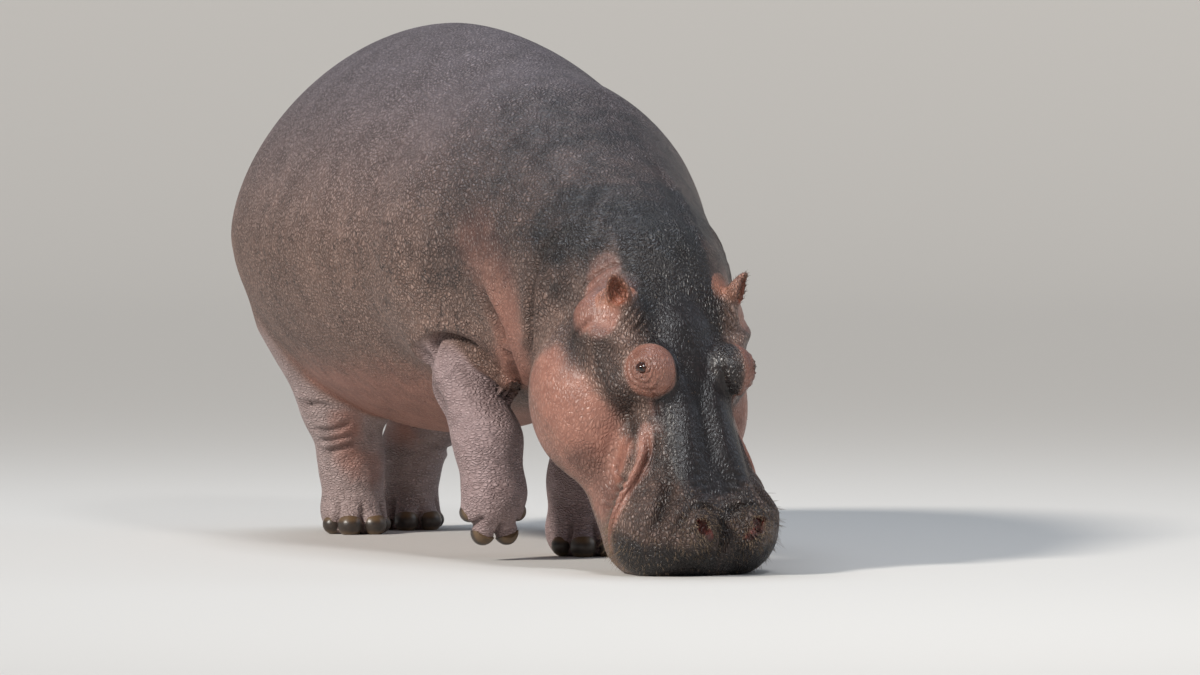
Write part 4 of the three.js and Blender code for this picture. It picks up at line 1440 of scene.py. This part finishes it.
class Bristles:
    """Gathers hairs as roots, ways, lengths and places on the unwrapped skin, then meshes them."""

    def __init__(self, skin):
        self.points = points_of(skin)
        self.normals = normals_of(skin)
        self.random = np.random.default_rng(11)
        self.parts = []

    def grow(self, weight, count, lift, lie, lengths, unwrap, tone):
        """Sets hairs at random over the points with weight, each along lift times its normal plus lie."""
        who = self.random.choice(len(weight), count, p=weight / weight.sum())
        normal = self.normals[who]
        scatter = self.random.normal(0, STRAY, (count, 3))
        scatter -= (scatter * normal).sum(1)[:, None] * normal
        root = self.points[who] + scatter - ROOT_DEPTH * normal
        aim = lift * normal + lie + self.random.normal(0, UNEVEN, (count, 3))
        aim /= length(aim)[:, None]
        long = self.random.uniform(*lengths, count)
        self.parts.append((root, aim, normal, long, unwrap(self.points[who]), np.full(count, tone)))

    def mesh(self, name, width):
        root, aim, normal, long, place, tone = (np.concatenate(part) for part in zip(*self.parts))
        count = len(root)
        beside = np.cross(aim, normal + [0.01, 0.02, 0.03])
        beside /= length(beside)[:, None]
        across = np.cross(aim, beside)
        points, tones, spots = [], [], []
        turns = np.arange(BRISTLE_SIDES) * 2 * math.pi / BRISTLE_SIDES
        for share, breadth in BRISTLE_RINGS + ((1.0, 0.0),):
            middle = root + aim * (long * share)[:, None]
            middle[:, 2] -= long * share * share * SAG
            for turn in turns if breadth else turns[:1]:
                offset = (beside * math.cos(turn) + across * math.sin(turn)) * width / 2 / MM * breadth
                points.append(middle + offset)
                tones.append(tone)
                spots.append(place + PATCH * np.array([math.cos(turn) / 2 * breadth, share - 0.5]))
        stride = len(points)
        rings = len(BRISTLE_RINGS)
        faces = [tuple(reversed(range(BRISTLE_SIDES)))]
        for ring in range(rings):
            for k in range(BRISTLE_SIDES):
                a, b = ring * BRISTLE_SIDES + k, ring * BRISTLE_SIDES + (k + 1) % BRISTLE_SIDES
                up = (b + BRISTLE_SIDES, a + BRISTLE_SIDES)
                faces.append((a, b, *up) if ring < rings - 1 else (a, b, stride - 1))
        every = np.stack(points, 1).reshape(-1, 3)
        every[:, 2] = np.maximum(every[:, 2], LOWEST)
        mesh = bpy.data.meshes.new(name)
        all_faces = [tuple(n * stride + v for v in face) for n in range(count) for face in faces]
        mesh.from_pydata(((every + ORIGIN_SHIFT) * MM).tolist(), [], all_faces)
        piece = linked(name, mesh)
        corners = np.empty(len(mesh.loops), np.int64)
        mesh.loops.foreach_get("vertex_index", corners)
        bake = mesh.uv_layers.new(name="OFBake")
        bake.data.foreach_set("uv", np.stack(spots, 1).reshape(-1, 2)[corners].ravel())
        keep_masks(piece, {"tone": np.stack(tones, 1).ravel()})
        face_out(piece)
        return piece


def on_tile(left, low, wide, high, turn, rise):
    """A place on one tile of the unwrapped skin, from a turn in radians and a rise from 0 to 1."""
    u = left + wide * (turn / (2 * math.pi) + 0.5)
    return np.column_stack([u, low + high * np.clip(rise, 0, 1)])


def unwrap_head(p):
    q = in_head(p)
    return on_tile(0.02, 0.02, 0.56, 0.96, np.arctan2(q[:, 0], q[:, 2] + 150), (250 - q[:, 1]) / 1100)


def unwrap_ear(side):
    def unwrap(p):
        e = in_ear(p, side)
        low = 0.52 if side > 0 else 0.02
        return on_tile(0.61, low, 0.17, 0.44, np.arctan2(e[:, 0], e[:, 1]), (e[:, 2] + 40) / 140)

    return unwrap


def unwrap_tail(p):
    return on_tile(0.81, 0.02, 0.17, 0.96, np.arctan2(p[:, 0], p[:, 1] - 1190), p[:, 2] / 1100)


def bristle_material(s):
    material, n = new_material("bristle")
    n.surface({"Base Color": n.mix(n.mask("tone"), linear(s.pale), linear(s.brown)), "Roughness": 0.42})
    return material


class HIPPO_OT_bristles(bpy.types.Operator):
    """Sets bristles on the muzzle, lips and face, fringes on the ears and a tuft on the tail."""

    bl_idname = "hippo.bristles"
    bl_label = "Bristles"

    def execute(self, context):
        s = context.scene.hippo_bristles
        hairs = Bristles(bpy.data.objects["skin"])
        p, q = hairs.points, in_head(hairs.points)
        along, aside, above = -q[:, 1], np.abs(q[:, 0]), q[:, 2]
        to_lips = HEAD_TURN @ np.array([0.0, -1.0, 0.0])
        on_muzzle = smooth_step(585, 740, along) * (above > -330) * (p[:, 2] > 6)
        hairs.grow(on_muzzle, s.muzzle, 0.8, 0.5 * to_lips, (6, 15), unwrap_head, 0.1)
        on_lips = smooth_step(600, 660, along) * smooth_step(165, 205, aside)
        on_lips = on_lips * (above > -300) * (p[:, 2] > 30)
        hairs.grow(on_lips, s.lips, 1.0, 0.25 * to_lips, (18, 34), unwrap_head, 0.25)
        on_face = smooth_step(-200, 100, along) * smooth_step(700, 560, along)
        on_face = on_face * (above > -320) * (along < 650)
        hairs.grow(on_face, s.face, 0.4, 0.9 * to_lips, (4, 8), unwrap_head, 0.0)
        for side in (-1, 1):
            e = in_ear(p, side)
            up = ear_axes(side)[:, 2]
            rim = np.abs(ellipsoid(pointed(e)[0], EAR_CUP, [28, 30, 40]))
            here = (length(e - [0, 0, 32]) < 72) & (e[:, 2] > 4)
            weight = here * (np.exp(-((rim / 5) ** 2)) + 0.22)
            hairs.grow(weight, s.ears, 0.55, 0.8 * up, (6, 15), unwrap_ear(side), 0.85)
        tip = (p[:, 1] > 1150) * (p[:, 2] < 800) * smooth_step(760, 640, p[:, 2])
        down = np.array([0.0, 0.0, -1.0])
        hairs.grow(tip, s.tail, 0.35, down, (25, 60), unwrap_tail, 1.0)
        finish_piece(hairs.mesh("bristles", s.width), bristle_material(s))
        return {"FINISHED"}


# The floor is flat round the animal and rises far off into its own backdrop, in metres.
FLOOR_REACH, FLOOR_FLAT, FLOOR_RIM = 90.0, 34.0, 16.0
SKY, SKY_STRENGTH = (0.84, 0.91, 1.0), 0.20
# The sun's rays run away from the camera, to its right and down.
KEY_WAY = (5.6, 6.6, 5.6)
# Soft lights: how far behind, to the right of and over the animal's middle as the camera sees it,
# then size, power and colour.
LAMPS = (
    ("top", (2.2, -1.2, 6.8), 3.2, 250, (0.82, 0.90, 1.0)),
    ("front", (-5.2, 1.6, 4.4), 1.0, 190, (0.94, 0.97, 1.0)),
    ("side", (2.0, 7.0, 4.0), 4.0, 80, (0.80, 0.88, 1.0)),
)
# The camera's place to the right of the animal's middle, and how far over the middle of its
# view the horizon lies, as a share of the view's width.
CAMERA_RIGHT, HORIZON = 0.364, 187.5 / 1200
SENSOR = 36.0


def plain_material(name, colour, rough):
    material = bpy.data.materials.new(name)
    material.use_nodes = True
    shader = material.node_tree.nodes["Principled BSDF"]
    shader.inputs["Base Color"].default_value = linear(colour)
    shader.inputs["Roughness"].default_value = rough
    return material


def area_light(name, place, target, size, power, colour):
    light = bpy.data.lights.new(name, "AREA")
    light.shape = "SQUARE"
    light.size = size
    light.energy = power
    light.color = colour
    lamp = linked(name, light)
    lamp.location = place
    lamp.rotation_euler = (Vector(target) - Vector(place)).to_track_quat("-Z", "Y").to_euler()


class HIPPO_OT_stage(bpy.types.Operator):
    """Adds the pale floor and backdrop, the soft lights and the camera."""

    bl_idname = "hippo.stage"
    bl_label = "Stage"

    def execute(self, context):
        s = context.scene.hippo_stage
        away = Vector((-math.sin(s.azimuth), math.cos(s.azimuth), 0))
        right = Vector((math.cos(s.azimuth), math.sin(s.azimuth), 0))

        bpy.ops.object.select_all(action="DESELECT")
        bpy.ops.mesh.primitive_grid_add(size=2 * FLOOR_REACH, x_subdivisions=90, y_subdivisions=90)
        floor = context.object
        floor.name = "floor"
        for corner in floor.data.vertices:
            rise = max(corner.co.xy.length - FLOOR_FLAT, 0) / (FLOOR_REACH - FLOOR_FLAT)
            corner.co.z = FLOOR_RIM * rise * rise
        shade_smooth(floor)
        floor.data.materials.append(plain_material("pale floor", s.floor, 0.85))

        world = bpy.data.worlds.new("studio")
        world.use_nodes = True
        background = world.node_tree.nodes["Background"]
        background.inputs["Color"].default_value = linear(SKY)
        background.inputs["Strength"].default_value = SKY_STRENGTH
        context.scene.world = world

        sun = bpy.data.lights.new("key", "SUN")
        sun.energy, sun.angle, sun.color = 3.5, math.radians(9), (1.0, 0.96, 0.90)
        key = linked("key", sun)
        from_key = away * KEY_WAY[0] + right * KEY_WAY[1] - Vector((0, 0, KEY_WAY[2]))
        key.rotation_euler = from_key.to_track_quat("-Z", "Y").to_euler()
        middle = Vector((0, -0.4, 0.8))
        for name, (back, aside, up), size, power, colour in LAMPS:
            place = middle + away * back + right * aside + Vector((0, 0, up))
            area_light(name, place, middle, size, power, colour)

        data = bpy.data.cameras.new("camera")
        data.sensor_width = SENSOR
        data.lens = s.lens
        data.clip_end = 300
        camera = linked("camera", data)
        place = -s.distance * away + CAMERA_RIGHT * right + Vector(ORIGIN_SHIFT * MM)
        camera.location = (place.x, place.y, s.camera_height)
        horizon_drop = math.atan(HORIZON * SENSOR / s.lens)
        look = away * math.cos(horizon_drop) - Vector((0, 0, math.sin(horizon_drop)))
        camera.rotation_mode = "QUATERNION"
        camera.rotation_quaternion = look.to_track_quat("-Z", "Y")
        context.scene.camera = camera
        context.scene.view_settings.view_transform = "Standard"
        return {"FINISHED"}


PIECES = (HIPPO_OT_skin, HIPPO_OT_eyes, HIPPO_OT_nails, HIPPO_OT_bristles, HIPPO_OT_stage)


class HIPPO_PT_pieces(bpy.types.Panel):
    bl_label = "Hippopotamus"
    bl_idname = "HIPPO_PT_pieces"
    bl_space_type = "VIEW_3D"
    bl_region_type = "UI"
    bl_category = "Hippopotamus"

    def draw(self, context):
        for operator in PIECES:
            self.layout.operator(operator.bl_idname)
        for name in SETTINGS:
            box = self.layout.box()
            settings = getattr(context.scene, name)
            for prop in settings.__annotations__:
                box.prop(settings, prop)


SETTINGS = {
    "hippo_skin": HIPPO_PG_skin,
    "hippo_eyes": HIPPO_PG_eyes,
    "hippo_nails": HIPPO_PG_nails,
    "hippo_bristles": HIPPO_PG_bristles,
    "hippo_stage": HIPPO_PG_stage,
}


def register():
    for group in SETTINGS.values():
        bpy.utils.register_class(group)
    for name, group in SETTINGS.items():
        setattr(bpy.types.Scene, name, bpy.props.PointerProperty(type=group))
    for operator in PIECES:
        bpy.utils.register_class(operator)
    bpy.utils.register_class(HIPPO_PT_pieces)


def unregister():
    bpy.utils.unregister_class(HIPPO_PT_pieces)
    for operator in reversed(PIECES):
        bpy.utils.unregister_class(operator)
    for name, group in reversed(list(SETTINGS.items())):
        delattr(bpy.types.Scene, name)
        bpy.utils.unregister_class(group)


def main():
    register()
    for operator in PIECES:
        group, _, name = operator.bl_idname.partition(".")
        getattr(getattr(bpy.ops, group), name)()


if __name__ == "__main__":
    main()
